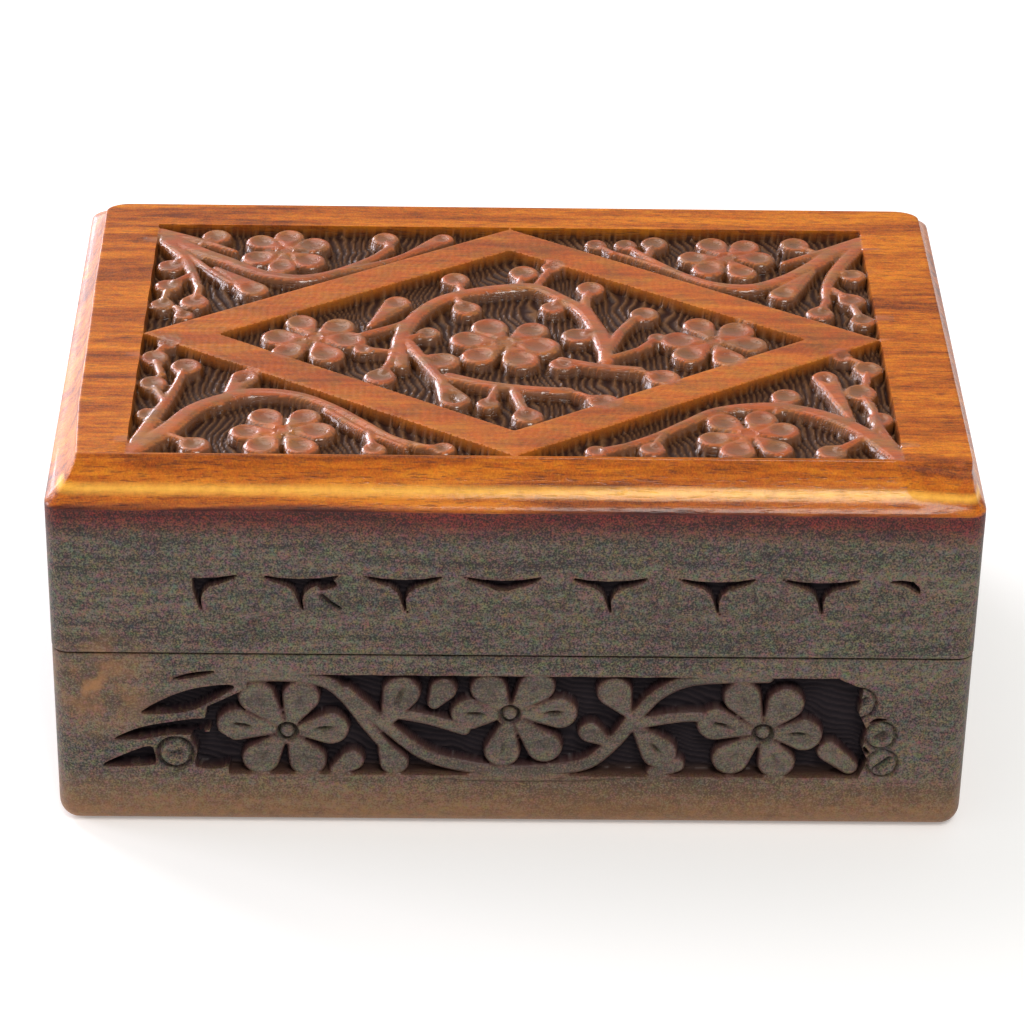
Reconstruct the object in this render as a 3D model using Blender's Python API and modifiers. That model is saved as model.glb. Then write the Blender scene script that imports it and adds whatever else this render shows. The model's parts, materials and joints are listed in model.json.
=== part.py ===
"""Carved wooden jewellery box: a hinged lid over a base, both boxes of five boards.

Frame: metres, +Z up, X along the width, the front at -Y, the origin at the middle of the underside.
The lid turns about the hinge axis along the back edge of the seam.
"""
from math import cos, pi, radians, sin, sqrt

import bmesh
import bpy
from mathutils import Matrix, Vector

# Driving dimensions of the box.
WIDTH = 0.152
DEPTH = 0.102
HEIGHT = 0.069
BASE_HEIGHT = 0.0341
WALL = 0.0095
GAP = 0.0003
FIT = 0.0001
CORNER_RADIUS = 0.003

# Boards: the lip that covers the side boards' ends, and the bottom and top boards.
LIP = 0.005
BOTTOM_THICKNESS = 0.005
REBATE = 0.0045
TOP_THICKNESS = 0.012

# Hollow moulding round the lid's top edge.
COVE_INSET = 0.0053
COVE_DROP = 0.0070
COVE_SAG = 0.0010
COVE_STEPS = 5

# Carved field of the lid's top: a diamond strap between four corner pockets.
FIELD_HALF_WIDTH = 0.063
FIELD_BACK = 0.037
FIELD_FRONT = -0.0452
STRAP_WIDTH = 0.007
CARVING_DEPTH = 0.002
TOP_FLOWERS = (
    (-0.001, -0.006, 0.0085),
    (-0.035, -0.005, 0.0080),
    (0.034, -0.005, 0.0080),
    (-0.039, 0.027, 0.0070),
    (0.038, 0.027, 0.0070),
    (-0.038, -0.036, 0.0070),
    (0.038, -0.036, 0.0070),
)

# Carved frieze of the base's front.
FRIEZE_HALF_WIDTH = 0.066
FRIEZE_BOTTOM = 0.0105
FRIEZE_TOP = 0.0300
FRIEZE_DEPTH = 0.0025
FRIEZE_FLOWERS = ((-0.038, 0.0195), (0.000, 0.0215), (0.040, 0.0195))
FRIEZE_FLOWER_RADIUS = 0.0078

# Butt hinges, their screws and the stop bevel along the back of the seam.
HINGE_CENTRES = {"left": -0.042, "right": 0.042}
HINGE_LENGTH = 0.020
HINGE_AXIS_INSET = 0.0018
LEAF_THICKNESS = 0.0008
LEAF_REACH = 0.0068
KNUCKLE_RADIUS = 0.0015
HINGE_PIN_RADIUS = 0.0006
HINGE_PIN_CLEARANCE = 0.00006
MIDDLE_KNUCKLE = 0.0064
OPEN_ANGLE = radians(100)
SCREW_SPACING = 0.012
SCREW_HEAD_RADIUS = 0.0013
SCREW_SHANK_RADIUS = 0.00065
SCREW_LENGTH = 0.0075
SCREW_SLOT = 0.0004

# Panel pins that hold the corners and the bottom board.
NAIL_RADIUS = 0.0007
NAIL_HEAD_RADIUS = 0.0011
NAIL_HEAD = 0.0006
NAIL_LENGTH = 0.0175
BOTTOM_NAIL_LENGTH = 0.012
BASE_NAIL_HEIGHTS = {"low": 0.0095, "high": 0.0255}
LID_NAIL_HEIGHTS = {"low": 0.0405, "high": 0.0510}
BOTTOM_NAIL_REACH = 0.045

# Velvet linings.
LINING = 0.0010
FLOOR_PAD = 0.0020
LINING_BELOW_RIM = 0.0010

# Heights and places worked out from them.
LID_BOTTOM = BASE_HEIGHT + GAP
SEAM = BASE_HEIGHT + GAP / 2
TOP_BOARD_BOTTOM = HEIGHT - TOP_THICKNESS
RAIL_TOP = TOP_BOARD_BOTTOM - GAP
HINGE_Y = DEPTH / 2 - HINGE_AXIS_INSET
HINGE_AXIS = Vector((0, HINGE_Y, SEAM))
INNER_X = WIDTH / 2 - WALL
INNER_Y = DEPTH / 2 - WALL
NAIL_Y = DEPTH / 2 - LIP - (WALL - LIP) / 2
SCREW_Y = HINGE_Y - LEAF_REACH / 2 - KNUCKLE_RADIUS / 2
FAR = 0.2
ROUND_SIDES = 16
BARREL_SIDES = 24
NAIL_SIDES = 12


def clear_scene():
    """Remove whatever the scene holds."""
    for thing in list(bpy.data.objects):
        bpy.data.objects.remove(thing, do_unlink=True)


def new_collection(name):
    """Return a new collection in the scene."""
    collection = bpy.data.collections.new(name)
    bpy.context.scene.collection.children.link(collection)
    return collection


def new_material(name, colour, roughness, metallic=0.0):
    """Return a Principled material."""
    material = bpy.data.materials.new(name)
    material.use_nodes = True
    shader = material.node_tree.nodes["Principled BSDF"]
    shader.inputs["Base Color"].default_value = (*colour, 1.0)
    shader.inputs["Roughness"].default_value = roughness
    shader.inputs["Metallic"].default_value = metallic
    material.diffuse_color = (*colour, 1.0)
    return material


clear_scene()
PARTS = new_collection("jewelry_box")
CUTTERS = new_collection("cutters")
BODY_WOOD = new_material("body_wood", (0.085, 0.040, 0.026), 0.35)
TOP_WOOD = new_material("top_wood", (0.36, 0.11, 0.03), 0.30)
BRASS = new_material("brass", (0.72, 0.48, 0.17), 0.30, 1.0)
STEEL = new_material("steel", (0.42, 0.41, 0.40), 0.35, 1.0)
VELVET = new_material("velvet", (0.30, 0.015, 0.025), 0.95)


def add_part(name, mesh, centre, material, lid_axis=None):
    """Put a finished mesh in the scene as a named sub-part, on the lid's axis if it moves."""
    part = bpy.data.objects.new(name, mesh)
    part.data.materials.clear()
    part.data.materials.append(material)
    part.location = centre
    if lid_axis is not None:
        part.parent = lid_axis
        part.location = Vector(centre) - lid_axis.location
    PARTS.objects.link(part)
    return part


def add_cutter(name, mesh, centre=(0, 0, 0), turn=0.0):
    """Put a cutter in its own collection, turned about X."""
    cutter = bpy.data.objects.new(name, mesh)
    cutter.location = centre
    cutter.rotation_euler.x = turn
    cutter.hide_render = True
    cutter.display_type = "WIRE"
    CUTTERS.objects.link(cutter)
    return cutter


def combine(part, other, operation="DIFFERENCE"):
    """Cut one object from a part, or join it to the part."""
    modifier = part.modifiers.new(f"{operation.lower()}_{other.name}", "BOOLEAN")
    modifier.operation = operation
    modifier.solver = "EXACT"
    modifier.object = other


def box_mesh(name, size):
    """Return a box mesh centred on its origin."""
    mesh = bpy.data.meshes.new(name)
    shape = bmesh.new()
    bmesh.ops.create_cube(shape, size=1.0)
    bmesh.ops.scale(shape, vec=size, verts=shape.verts)
    shape.to_mesh(mesh)
    shape.free()
    return mesh


def box_between(name, low, high):
    """Return a box mesh and its centre from its lowest and highest corners."""
    low = Vector(low)
    high = Vector(high)
    return box_mesh(name, high - low), (low + high) / 2


def cutter_between(name, low, high):
    """Return a box cutter from its lowest and highest corners."""
    return add_cutter(name, *box_between(name, low, high))


def turned_mesh(name, profile, sides=ROUND_SIDES):
    """Turn a profile of (radius, height) points, from its top to its foot, about Z."""
    mesh = bpy.data.meshes.new(name)
    shape = bmesh.new()
    points = [shape.verts.new((radius, 0, height)) for radius, height in profile]
    for start, end in zip(points, points[1:]):
        shape.edges.new((start, end))
    shape.to_mesh(mesh)
    shape.free()
    blank = bpy.data.objects.new(name, mesh)
    PARTS.objects.link(blank)
    screw = blank.modifiers.new("turn", "SCREW")
    screw.steps = sides
    screw.render_steps = sides
    screw.use_merge_vertices = True
    screw.merge_threshold = 0.00001
    turned = mesh_of(blank)
    return turned


def mesh_of(blank):
    """Return an object's evaluated mesh, welded, in world space, and remove the object."""
    bpy.context.view_layer.update()
    evaluated = blank.evaluated_get(bpy.context.evaluated_depsgraph_get())
    mesh = bpy.data.meshes.new_from_object(evaluated)
    mesh.transform(blank.matrix_world)
    name = blank.name
    bpy.data.objects.remove(blank, do_unlink=True)
    mesh.name = name
    shape = bmesh.new()
    shape.from_mesh(mesh)
    bmesh.ops.remove_doubles(shape, verts=shape.verts, dist=0.000001)
    shape.to_mesh(mesh)
    shape.free()
    return mesh


def flat_mesh(name, outline, low, high):
    """Extrude a closed outline of (x, y) points from height low to height high."""
    curve = bpy.data.curves.new(name, "CURVE")
    curve.dimensions = "2D"
    curve.fill_mode = "BOTH"
    curve.extrude = (high - low) / 2
    spline = curve.splines.new("POLY")
    spline.points.add(len(outline) - 1)
    for point, (x, y) in zip(spline.points, outline):
        point.co = (x, y, 0, 1)
    spline.use_cyclic_u = True
    blank = bpy.data.objects.new(name, curve)
    blank.location.z = (low + high) / 2
    PARTS.objects.link(blank)
    return mesh_of(blank)


def rod_mesh(name, radius, length, sides=BARREL_SIDES):
    """Return a cylinder mesh along X, centred on its origin."""
    mesh = bpy.data.meshes.new(name)
    shape = bmesh.new()
    bmesh.ops.create_cone(
        shape, cap_ends=True, segments=sides, radius1=radius, radius2=radius, depth=length,
        matrix=Matrix.Rotation(pi / 2, 4, "Y"),
    )
    shape.to_mesh(mesh)
    shape.free()
    mesh.set_sharp_from_angle(angle=radians(40))
    return mesh


def board_mesh(name, size, rounded_side=0):
    """Return a board whose upright edges on one Y side are rounded."""
    mesh = box_mesh(name, size)
    if rounded_side:
        shape = bmesh.new()
        shape.from_mesh(mesh)
        upright = [
            edge for edge in shape.edges
            if abs(edge.verts[0].co.z - edge.verts[1].co.z) > size[2] / 2
            and edge.verts[0].co.y * rounded_side > 0
        ]
        bmesh.ops.bevel(
            shape, geom=upright, offset=CORNER_RADIUS, segments=4, profile=0.5, affect="EDGES"
        )
        shape.to_mesh(mesh)
        shape.free()
    return mesh


def wall_boards(prefix, low, high, lid_axis=None):
    """Make the front, back, left and right boards of the base or the lid."""
    height = high - low
    middle = (low + high) / 2
    boards = {}
    for side, sign in (("front", -1), ("back", 1)):
        name = f"{prefix}_{side}"
        mesh = board_mesh(name, (WIDTH, WALL, height), sign)
        centre = (0, sign * (DEPTH - WALL) / 2, middle)
        boards[side] = add_part(name, mesh, centre, BODY_WOOD, lid_axis)
        for end, end_sign in (("left", -1), ("right", 1)):
            inner = end_sign * (INNER_X - GAP)
            outer = end_sign * FAR
            near = sign * (DEPTH / 2 - LIP)
            cutter = cutter_between(
                f"{name}_{end}_housing",
                (min(inner, outer), min(near, 0), low - WALL),
                (max(inner, outer), max(near, 0), high + WALL),
            )
            combine(boards[side], cutter)
    for side, sign in (("left", -1), ("right", 1)):
        name = f"{prefix}_{side}"
        size = (WALL, DEPTH - 2 * (LIP + GAP), height)
        centre = (sign * (WIDTH - WALL) / 2, 0, middle)
        boards[side] = add_part(name, box_mesh(name, size), centre, BODY_WOOD, lid_axis)
    return boards


def nail_mesh(name, length, clearance=0.0):
    """Return a panel pin along Z with the top of its head at the origin, or the hole for it."""
    head = NAIL_HEAD_RADIUS + clearance
    shank = NAIL_RADIUS + clearance
    mouth = 3 * clearance
    profile = (
        (0, mouth),
        (head, mouth),
        (head, -NAIL_HEAD - clearance),
        (shank, -NAIL_HEAD - clearance),
        (shank, NAIL_RADIUS - length - clearance),
        (0, -length - clearance),
    )
    return turned_mesh(name, profile, NAIL_SIDES)


def corner_nails(prefix, heights, boards, lid_axis=None):
    """Drive panel pins through the side boards into the ends of the front and back boards."""
    for side, sign in (("left", -1), ("right", 1)):
        for end, end_sign in (("front", -1), ("back", 1)):
            for level, height in heights.items():
                name = f"{prefix}_pin_{end}_{side}_{level}"
                head = Vector((sign * (WIDTH / 2 - GAP), end_sign * NAIL_Y, height))
                turn = Matrix.Rotation(sign * pi / 2, 4, "Y")
                nail = nail_mesh(name, NAIL_LENGTH)
                nail.transform(turn)
                add_part(name, nail, head, STEEL, lid_axis)
                hole = nail_mesh(f"{name}_hole", NAIL_LENGTH, GAP)
                hole.transform(turn)
                cutter = add_cutter(f"{name}_hole", hole, head)
                combine(boards[side], cutter)
                combine(boards[end], cutter)


def bottom_board(boards):
    """Make the bottom board, its rebate in the four walls and its panel pins."""
    reach_x = INNER_X + REBATE
    reach_y = INNER_Y + REBATE
    rebate = cutter_between(
        "bottom_rebate",
        (-reach_x, -reach_y, -WALL),
        (reach_x, reach_y, BOTTOM_THICKNESS + GAP),
    )
    for board in boards.values():
        combine(board, rebate)
    size = (2 * (reach_x - GAP), 2 * (reach_y - GAP), BOTTOM_THICKNESS)
    bottom = add_part(
        "base_bottom", box_mesh("base_bottom", size), (0, 0, BOTTOM_THICKNESS / 2), BODY_WOOD
    )
    for side, sign in (("left", -1), ("right", 1)):
        for end, end_sign in (("front", -1), ("back", 1)):
            name = f"bottom_pin_{end}_{side}"
            head = Vector((sign * BOTTOM_NAIL_REACH, end_sign * NAIL_Y, GAP))
            turn = Matrix.Rotation(pi, 4, "X")
            nail = nail_mesh(name, BOTTOM_NAIL_LENGTH)
            nail.transform(turn)
            add_part(name, nail, head, STEEL)
            hole = nail_mesh(f"{name}_hole", BOTTOM_NAIL_LENGTH, GAP)
            hole.transform(turn)
            cutter = add_cutter(f"{name}_hole", hole, head)
            combine(bottom, cutter)
            combine(boards[end], cutter)


def cove_profile():
    """Return the (inset, height) points of the hollow moulding, from its foot to its top."""
    foot = Vector((0, HEIGHT - COVE_DROP))
    top = Vector((COVE_INSET, HEIGHT))
    chord = top - foot
    hollow = Vector((chord.y, -chord.x)).normalized() * COVE_SAG
    points = []
    for step in range(COVE_STEPS + 1):
        share = step / COVE_STEPS
        points.append(foot + chord * share + hollow * 4 * share * (1 - share))
    return points


def top_board(lid_axis):
    """Make the lid's top board with its hollow moulding and carved field."""
    lower = HEIGHT - COVE_DROP - TOP_BOARD_BOTTOM
    mesh = box_mesh("lid_top", (WIDTH, DEPTH, lower))
    shape = bmesh.new()
    shape.from_mesh(mesh)
    upright = [
        edge for edge in shape.edges if abs(edge.verts[0].co.z - edge.verts[1].co.z) > lower / 2
    ]
    bmesh.ops.bevel(
        shape, geom=upright, offset=CORNER_RADIUS, segments=4, profile=0.5, affect="EDGES"
    )
    upper = max(shape.faces, key=lambda face: face.calc_center_median().z)
    before = cove_profile()[0]
    for point in cove_profile()[1:]:
        raised = bmesh.ops.extrude_face_region(shape, geom=[upper])
        upper_verts = [item for item in raised["geom"] if isinstance(item, bmesh.types.BMVert)]
        faces = [item for item in raised["geom"] if isinstance(item, bmesh.types.BMFace)]
        bmesh.ops.delete(shape, geom=[upper], context="FACES_ONLY")
        upper = faces[0]
        bmesh.ops.translate(shape, vec=(0, 0, point.y - before.y), verts=upper_verts)
        shrink_x = (WIDTH / 2 - point.x) / (WIDTH / 2 - before.x)
        shrink_y = (DEPTH / 2 - point.x) / (DEPTH / 2 - before.x)
        bmesh.ops.scale(shape, vec=(shrink_x, shrink_y, 1), verts=upper_verts)
        before = point
    bmesh.ops.recalc_face_normals(shape, faces=shape.faces)
    shape.to_mesh(mesh)
    shape.free()
    centre = (0, 0, TOP_BOARD_BOTTOM + lower / 2)
    board = add_part("lid_top", mesh, centre, TOP_WOOD, lid_axis)
    carve_field(board)
    return board


def carve_field(board):
    """Sink the diamond's inside and the four corner pockets, and stand the flowers in them."""
    floor = HEIGHT - CARVING_DEPTH
    middle_y = (FIELD_BACK + FIELD_FRONT) / 2
    half_y = (FIELD_BACK - FIELD_FRONT) / 2
    reach = FIELD_HALF_WIDTH * half_y / sqrt(FIELD_HALF_WIDTH ** 2 + half_y ** 2)
    inside = (reach - STRAP_WIDTH) / reach
    diamond = [
        (FIELD_HALF_WIDTH * inside, middle_y),
        (0, middle_y + half_y * inside),
        (-FIELD_HALF_WIDTH * inside, middle_y),
        (0, middle_y - half_y * inside),
    ]
    mesh = flat_mesh("diamond_pocket", diamond, floor, HEIGHT + WALL)
    combine(board, add_cutter("diamond_pocket", mesh))
    tip = 1.5 * GAP
    for side in (-1, 1):
        for end in (-1, 1):
            corner = (side * FIELD_HALF_WIDTH, middle_y + end * half_y)
            along_x = (side * tip, middle_y + end * half_y)
            along_y = (side * FIELD_HALF_WIDTH, middle_y + end * tip)
            name = f"corner_pocket_{side}_{end}"
            mesh = flat_mesh(name, [corner, along_x, along_y], floor, HEIGHT + WALL)
            combine(board, add_cutter(name, mesh))
    for number, (x, y, radius) in enumerate(TOP_FLOWERS):
        name = f"top_flower_{number}"
        mesh = flat_mesh(name, flower_outline(x, y, radius), floor - GAP, HEIGHT - GAP)
        combine(board, add_cutter(name, mesh), "UNION")


def flower_outline(x, y, radius, petals=6, points_per_petal=6):
    """Return the scalloped outline of a flower."""
    count = petals * points_per_petal
    outline = []
    for step in range(count):
        angle = 2 * pi * step / count
        reach = radius * (0.76 + 0.24 * abs(cos(petals * angle / 2)))
        outline.append((x + reach * cos(angle), y + reach * sin(angle)))
    return outline


def front_frieze(board):
    """Sink the frieze of the base's front and stand its three flowers in it."""
    front = -DEPTH / 2
    pocket = cutter_between(
        "frieze_pocket",
        (-FRIEZE_HALF_WIDTH, front - WALL, FRIEZE_BOTTOM),
        (FRIEZE_HALF_WIDTH, front + FRIEZE_DEPTH, FRIEZE_TOP),
    )
    combine(board, pocket)
    upright = Matrix.Rotation(pi / 2, 4, "X")
    for number, (x, z) in enumerate(FRIEZE_FLOWERS):
        name = f"frieze_flower_{number}"
        outline = flower_outline(x, z, FRIEZE_FLOWER_RADIUS)
        mesh = flat_mesh(name, outline, -front - FRIEZE_DEPTH - GAP, -front - GAP)
        mesh.transform(upright)
        combine(board, add_cutter(name, mesh), "UNION")


def stop_bevels(base_back, lid_back):
    """Bevel both back edges of the seam, so that the bevels meet when the lid is fully open."""
    half = OPEN_ANGLE / 2
    size = (2 * FAR, FAR, WALL)
    for board, height, side in ((base_back, BASE_HEIGHT, -1), (lid_back, LID_BOTTOM, 1)):
        mesh = box_mesh(f"{board.name}_bevel", size)
        mesh.transform(Matrix.Translation((0, FAR / 2 - WALL / 2, -side * WALL / 2)))
        apex = (0, HINGE_Y, height)
        combine(board, add_cutter(f"{board.name}_bevel", mesh, apex, side * half))


def knuckle_spans(owner):
    """Return the stretches along X of one leaf's knuckles, from the hinge's middle."""
    half = HINGE_LENGTH / 2
    middle = MIDDLE_KNUCKLE / 2
    if owner == "lid":
        return [(-middle, middle)]
    return [(-half, -middle - GAP), (middle + GAP, half)]


def hinge_leaf(name, x, owner, lid_axis=None):
    """Make one leaf with its knuckles, bored for the pin and countersunk for two screws."""
    side = 1 if owner == "lid" else -1
    face = LID_BOTTOM if owner == "lid" else BASE_HEIGHT
    far_face = face + side * LEAF_THICKNESS
    half = HINGE_LENGTH / 2
    mesh, centre = box_between(
        name,
        (x - half, HINGE_Y - LEAF_REACH, min(face, far_face)),
        (x + half, HINGE_Y - KNUCKLE_RADIUS / 2, max(face, far_face)),
    )
    leaf = add_part(name, mesh, centre, BRASS, lid_axis)
    other = "base" if owner == "lid" else "lid"
    for number, (low, high) in enumerate(knuckle_spans(other)):
        low_edge = max(low, -half) - (GAP if low > -half else GAP * 2)
        high_edge = high + (GAP if high < half else GAP * 2)
        notch = cutter_between(
            f"{name}_notch_{number}",
            (x + low_edge, HINGE_Y - KNUCKLE_RADIUS - GAP, 0),
            (x + high_edge, FAR, HEIGHT),
        )
        combine(leaf, notch)
    for number, (low, high) in enumerate(knuckle_spans(owner)):
        tube_name = f"{name}_knuckle_{number}"
        tube = rod_mesh(tube_name, KNUCKLE_RADIUS, high - low)
        place = HINGE_AXIS + Vector((x + (low + high) / 2, 0, 0))
        combine(leaf, add_cutter(tube_name, tube, place), "UNION")
    bore_radius = HINGE_PIN_RADIUS + HINGE_PIN_CLEARANCE
    bore = rod_mesh(f"{name}_bore", bore_radius, HINGE_LENGTH + WALL)
    combine(leaf, add_cutter(f"{name}_bore", bore, HINGE_AXIS + Vector((x, 0, 0))))
    for place in (-1, 1):
        hole_name = f"{name}_screw_hole_{place}"
        spot = (x + place * SCREW_SPACING / 2, SCREW_Y, face)
        turn = pi if owner == "lid" else 0.0
        hole = turned_mesh(hole_name, screw_profile(2 * FIT, GAP))
        combine(leaf, add_cutter(hole_name, hole, spot, turn))
    return leaf


def screw_profile(clearance=0.0, proud=0.0):
    """Return a countersunk screw's profile, or its hole's, from the head down."""
    head = SCREW_HEAD_RADIUS + clearance
    shank = SCREW_SHANK_RADIUS + clearance
    return (
        (0, proud),
        (head, proud),
        (head, -FIT),
        (shank, -LEAF_THICKNESS),
        (shank, SCREW_SHANK_RADIUS - SCREW_LENGTH - clearance),
        (0, -SCREW_LENGTH - clearance),
    )


def hinge(side, x, boards_of, lid_axis):
    """Make one butt hinge: two leaves, a pin, four screws and their seats in the wood."""
    half = HINGE_LENGTH / 2
    seat_name = f"hinge_{side}_seat"
    seat_mesh = rod_mesh(seat_name, KNUCKLE_RADIUS + GAP + FIT, HINGE_LENGTH + 2 * GAP)
    seat = add_cutter(seat_name, seat_mesh, HINGE_AXIS + Vector((x, 0, 0)))
    for owner, direction, face in (("base", -1, BASE_HEIGHT), ("lid", 1, LID_BOTTOM)):
        board = boards_of[owner]["back"]
        combine(board, seat)
        floor = face + direction * (LEAF_THICKNESS + GAP)
        open_side = face - direction * WALL
        mortise = cutter_between(
            f"hinge_{side}_{owner}_mortise",
            (x - half - GAP, HINGE_Y - LEAF_REACH - GAP, min(floor, open_side)),
            (x + half + GAP, HINGE_Y, max(floor, open_side)),
        )
        combine(board, mortise)
        axis = lid_axis if owner == "lid" else None
        leaf_name = f"hinge_{side}_{owner}_leaf"
        hinge_leaf(leaf_name, x, owner, axis)
        for place, place_name in ((-1, "a"), (1, "b")):
            screw_name = f"hinge_{side}_{owner}_screw_{place_name}"
            spot = Vector((x + place * SCREW_SPACING / 2, SCREW_Y, face))
            mesh = turned_mesh(screw_name, screw_profile(0.0, -FIT / 2))
            mesh.transform(Matrix.Rotation(pi if owner == "lid" else 0.0, 4, "X"))
            screw = add_part(screw_name, mesh, spot, BRASS, axis)
            slot = cutter_between(
                f"{screw_name}_slot",
                spot - Vector((WALL, SCREW_SLOT / 2, SCREW_SLOT)),
                spot + Vector((WALL, SCREW_SLOT / 2, SCREW_SLOT)),
            )
            combine(screw, slot)
            pilot = turned_mesh(f"{screw_name}_pilot", screw_profile(GAP, 0.0))
            turn = pi if owner == "lid" else 0.0
            combine(board, add_cutter(f"{screw_name}_pilot", pilot, spot, turn))
    pin = rod_mesh(f"hinge_{side}_pin", HINGE_PIN_RADIUS, HINGE_LENGTH)
    add_part(f"hinge_{side}_pin", pin, HINGE_AXIS + Vector((x, 0, 0)), BRASS)


def wall_linings(prefix, low, high, lid_axis=None):
    """Line the four inner faces of the base or the lid with velvet."""
    reach_x = INNER_X - GAP
    reach_y = INNER_Y - GAP
    for side, sign in (("front", -1), ("back", 1)):
        name = f"{prefix}_lining_{side}"
        size = (2 * reach_x, LINING, high - low)
        centre = (0, sign * (reach_y - LINING / 2), (low + high) / 2)
        add_part(name, box_mesh(name, size), centre, VELVET, lid_axis)
    for side, sign in (("left", -1), ("right", 1)):
        name = f"{prefix}_lining_{side}"
        size = (LINING, 2 * (reach_y - LINING - GAP), high - low)
        centre = (sign * (reach_x - LINING / 2), 0, (low + high) / 2)
        add_part(name, box_mesh(name, size), centre, VELVET, lid_axis)


def flat_lining(name, low, thickness, lid_axis=None):
    """Make the padded velvet panel of the base's floor or the lid's ceiling."""
    size = (2 * (INNER_X - GAP), 2 * (INNER_Y - GAP), thickness)
    add_part(name, box_mesh(name, size), (0, 0, low + thickness / 2), VELVET, lid_axis)


def build():
    """Build the base, the lid, the hinges between them and the linings."""
    lid_axis = bpy.data.objects.new("lid_axis", None)
    lid_axis.location = HINGE_AXIS
    PARTS.objects.link(lid_axis)

    base = wall_boards("base", 0, BASE_HEIGHT)
    bottom_board(base)
    front_frieze(base["front"])
    corner_nails("base", BASE_NAIL_HEIGHTS, base)

    lid = wall_boards("lid", LID_BOTTOM, RAIL_TOP, lid_axis)
    top_board(lid_axis)
    corner_nails("lid", LID_NAIL_HEIGHTS, lid, lid_axis)

    stop_bevels(base["back"], lid["back"])
    for side, x in HINGE_CENTRES.items():
        hinge(side, x, {"base": base, "lid": lid}, lid_axis)

    floor = BOTTOM_THICKNESS + GAP
    flat_lining("base_floor_pad", floor, FLOOR_PAD)
    wall_linings("base", floor + FLOOR_PAD + GAP, BASE_HEIGHT - LINING_BELOW_RIM)
    ceiling = RAIL_TOP - FLOOR_PAD
    flat_lining("lid_ceiling_pad", ceiling, FLOOR_PAD, lid_axis)
    wall_linings("lid", LID_BOTTOM + LINING_BELOW_RIM, ceiling - GAP, lid_axis)


build()
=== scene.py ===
"""The looks of a carved wooden jewellery box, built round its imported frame.

The box is a lid over a base. The carved faces are worked as reliefs: flowers, buds, stems and a
diamond strap stand over a sunk, gouged ground. Lengths in the carving's own tables are millimetres
on the face that they are cut in; everything else is metres.
"""

import json
import logging
from collections.abc import Callable
from dataclasses import dataclass, field, replace
from enum import Enum
from math import cos, pi, radians, sin

import bmesh
import bpy
import numpy as np
from mathutils import Matrix, Vector

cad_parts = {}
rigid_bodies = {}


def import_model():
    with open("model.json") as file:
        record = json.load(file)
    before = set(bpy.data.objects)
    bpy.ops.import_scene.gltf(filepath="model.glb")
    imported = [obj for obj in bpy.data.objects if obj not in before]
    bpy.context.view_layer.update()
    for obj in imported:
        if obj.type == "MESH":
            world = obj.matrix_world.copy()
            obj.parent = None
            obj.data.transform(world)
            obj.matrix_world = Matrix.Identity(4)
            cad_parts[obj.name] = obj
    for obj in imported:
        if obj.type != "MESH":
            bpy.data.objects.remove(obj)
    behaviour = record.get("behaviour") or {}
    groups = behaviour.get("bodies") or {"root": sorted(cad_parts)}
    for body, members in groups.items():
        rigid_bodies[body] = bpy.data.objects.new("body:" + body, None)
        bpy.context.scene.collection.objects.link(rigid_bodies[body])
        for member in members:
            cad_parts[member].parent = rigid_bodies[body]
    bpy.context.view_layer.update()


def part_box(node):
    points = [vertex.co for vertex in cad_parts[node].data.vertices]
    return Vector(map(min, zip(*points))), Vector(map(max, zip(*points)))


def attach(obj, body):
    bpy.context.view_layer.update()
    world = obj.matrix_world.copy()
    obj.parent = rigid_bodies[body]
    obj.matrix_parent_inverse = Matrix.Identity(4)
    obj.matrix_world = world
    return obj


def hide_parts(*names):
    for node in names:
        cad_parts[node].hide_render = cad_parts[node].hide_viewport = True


LOG = logging.getLogger("jewellery_box")
MM = 0.001
SHARP = 0.000001
ROUNDING_STEPS = (0.03, 0.12, 0.27, 0.46, 0.70, 1.0)
# Where the warmer patch on the front lies, and how far it reaches.
WARM_PATCH_SPOT = (-0.069, -0.051, 0.028)
WARM_PATCH_RADIUS = 0.0125
# Painted highlight band: how soft its ends are, and the depth behind the front where it fades out.
HIGHLIGHT_BAND_EDGE = 0.0009
HIGHLIGHT_BAND_BACK = -0.0440
Point = tuple[float, float]
Triple = tuple[float, float, float]
Socket = bpy.types.NodeSocket
Value = Socket | float | tuple


class Grain(Enum):
    """The way a board's grain runs."""

    ALONG_WIDTH = (1.0, 9.0, 9.0)
    ALONG_DEPTH = (9.0, 1.0, 9.0)


class Body(Enum):
    """The two rigid bodies of the box."""

    BASE = "base"
    LID = "lid"


# ---- Finishes ----


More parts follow.
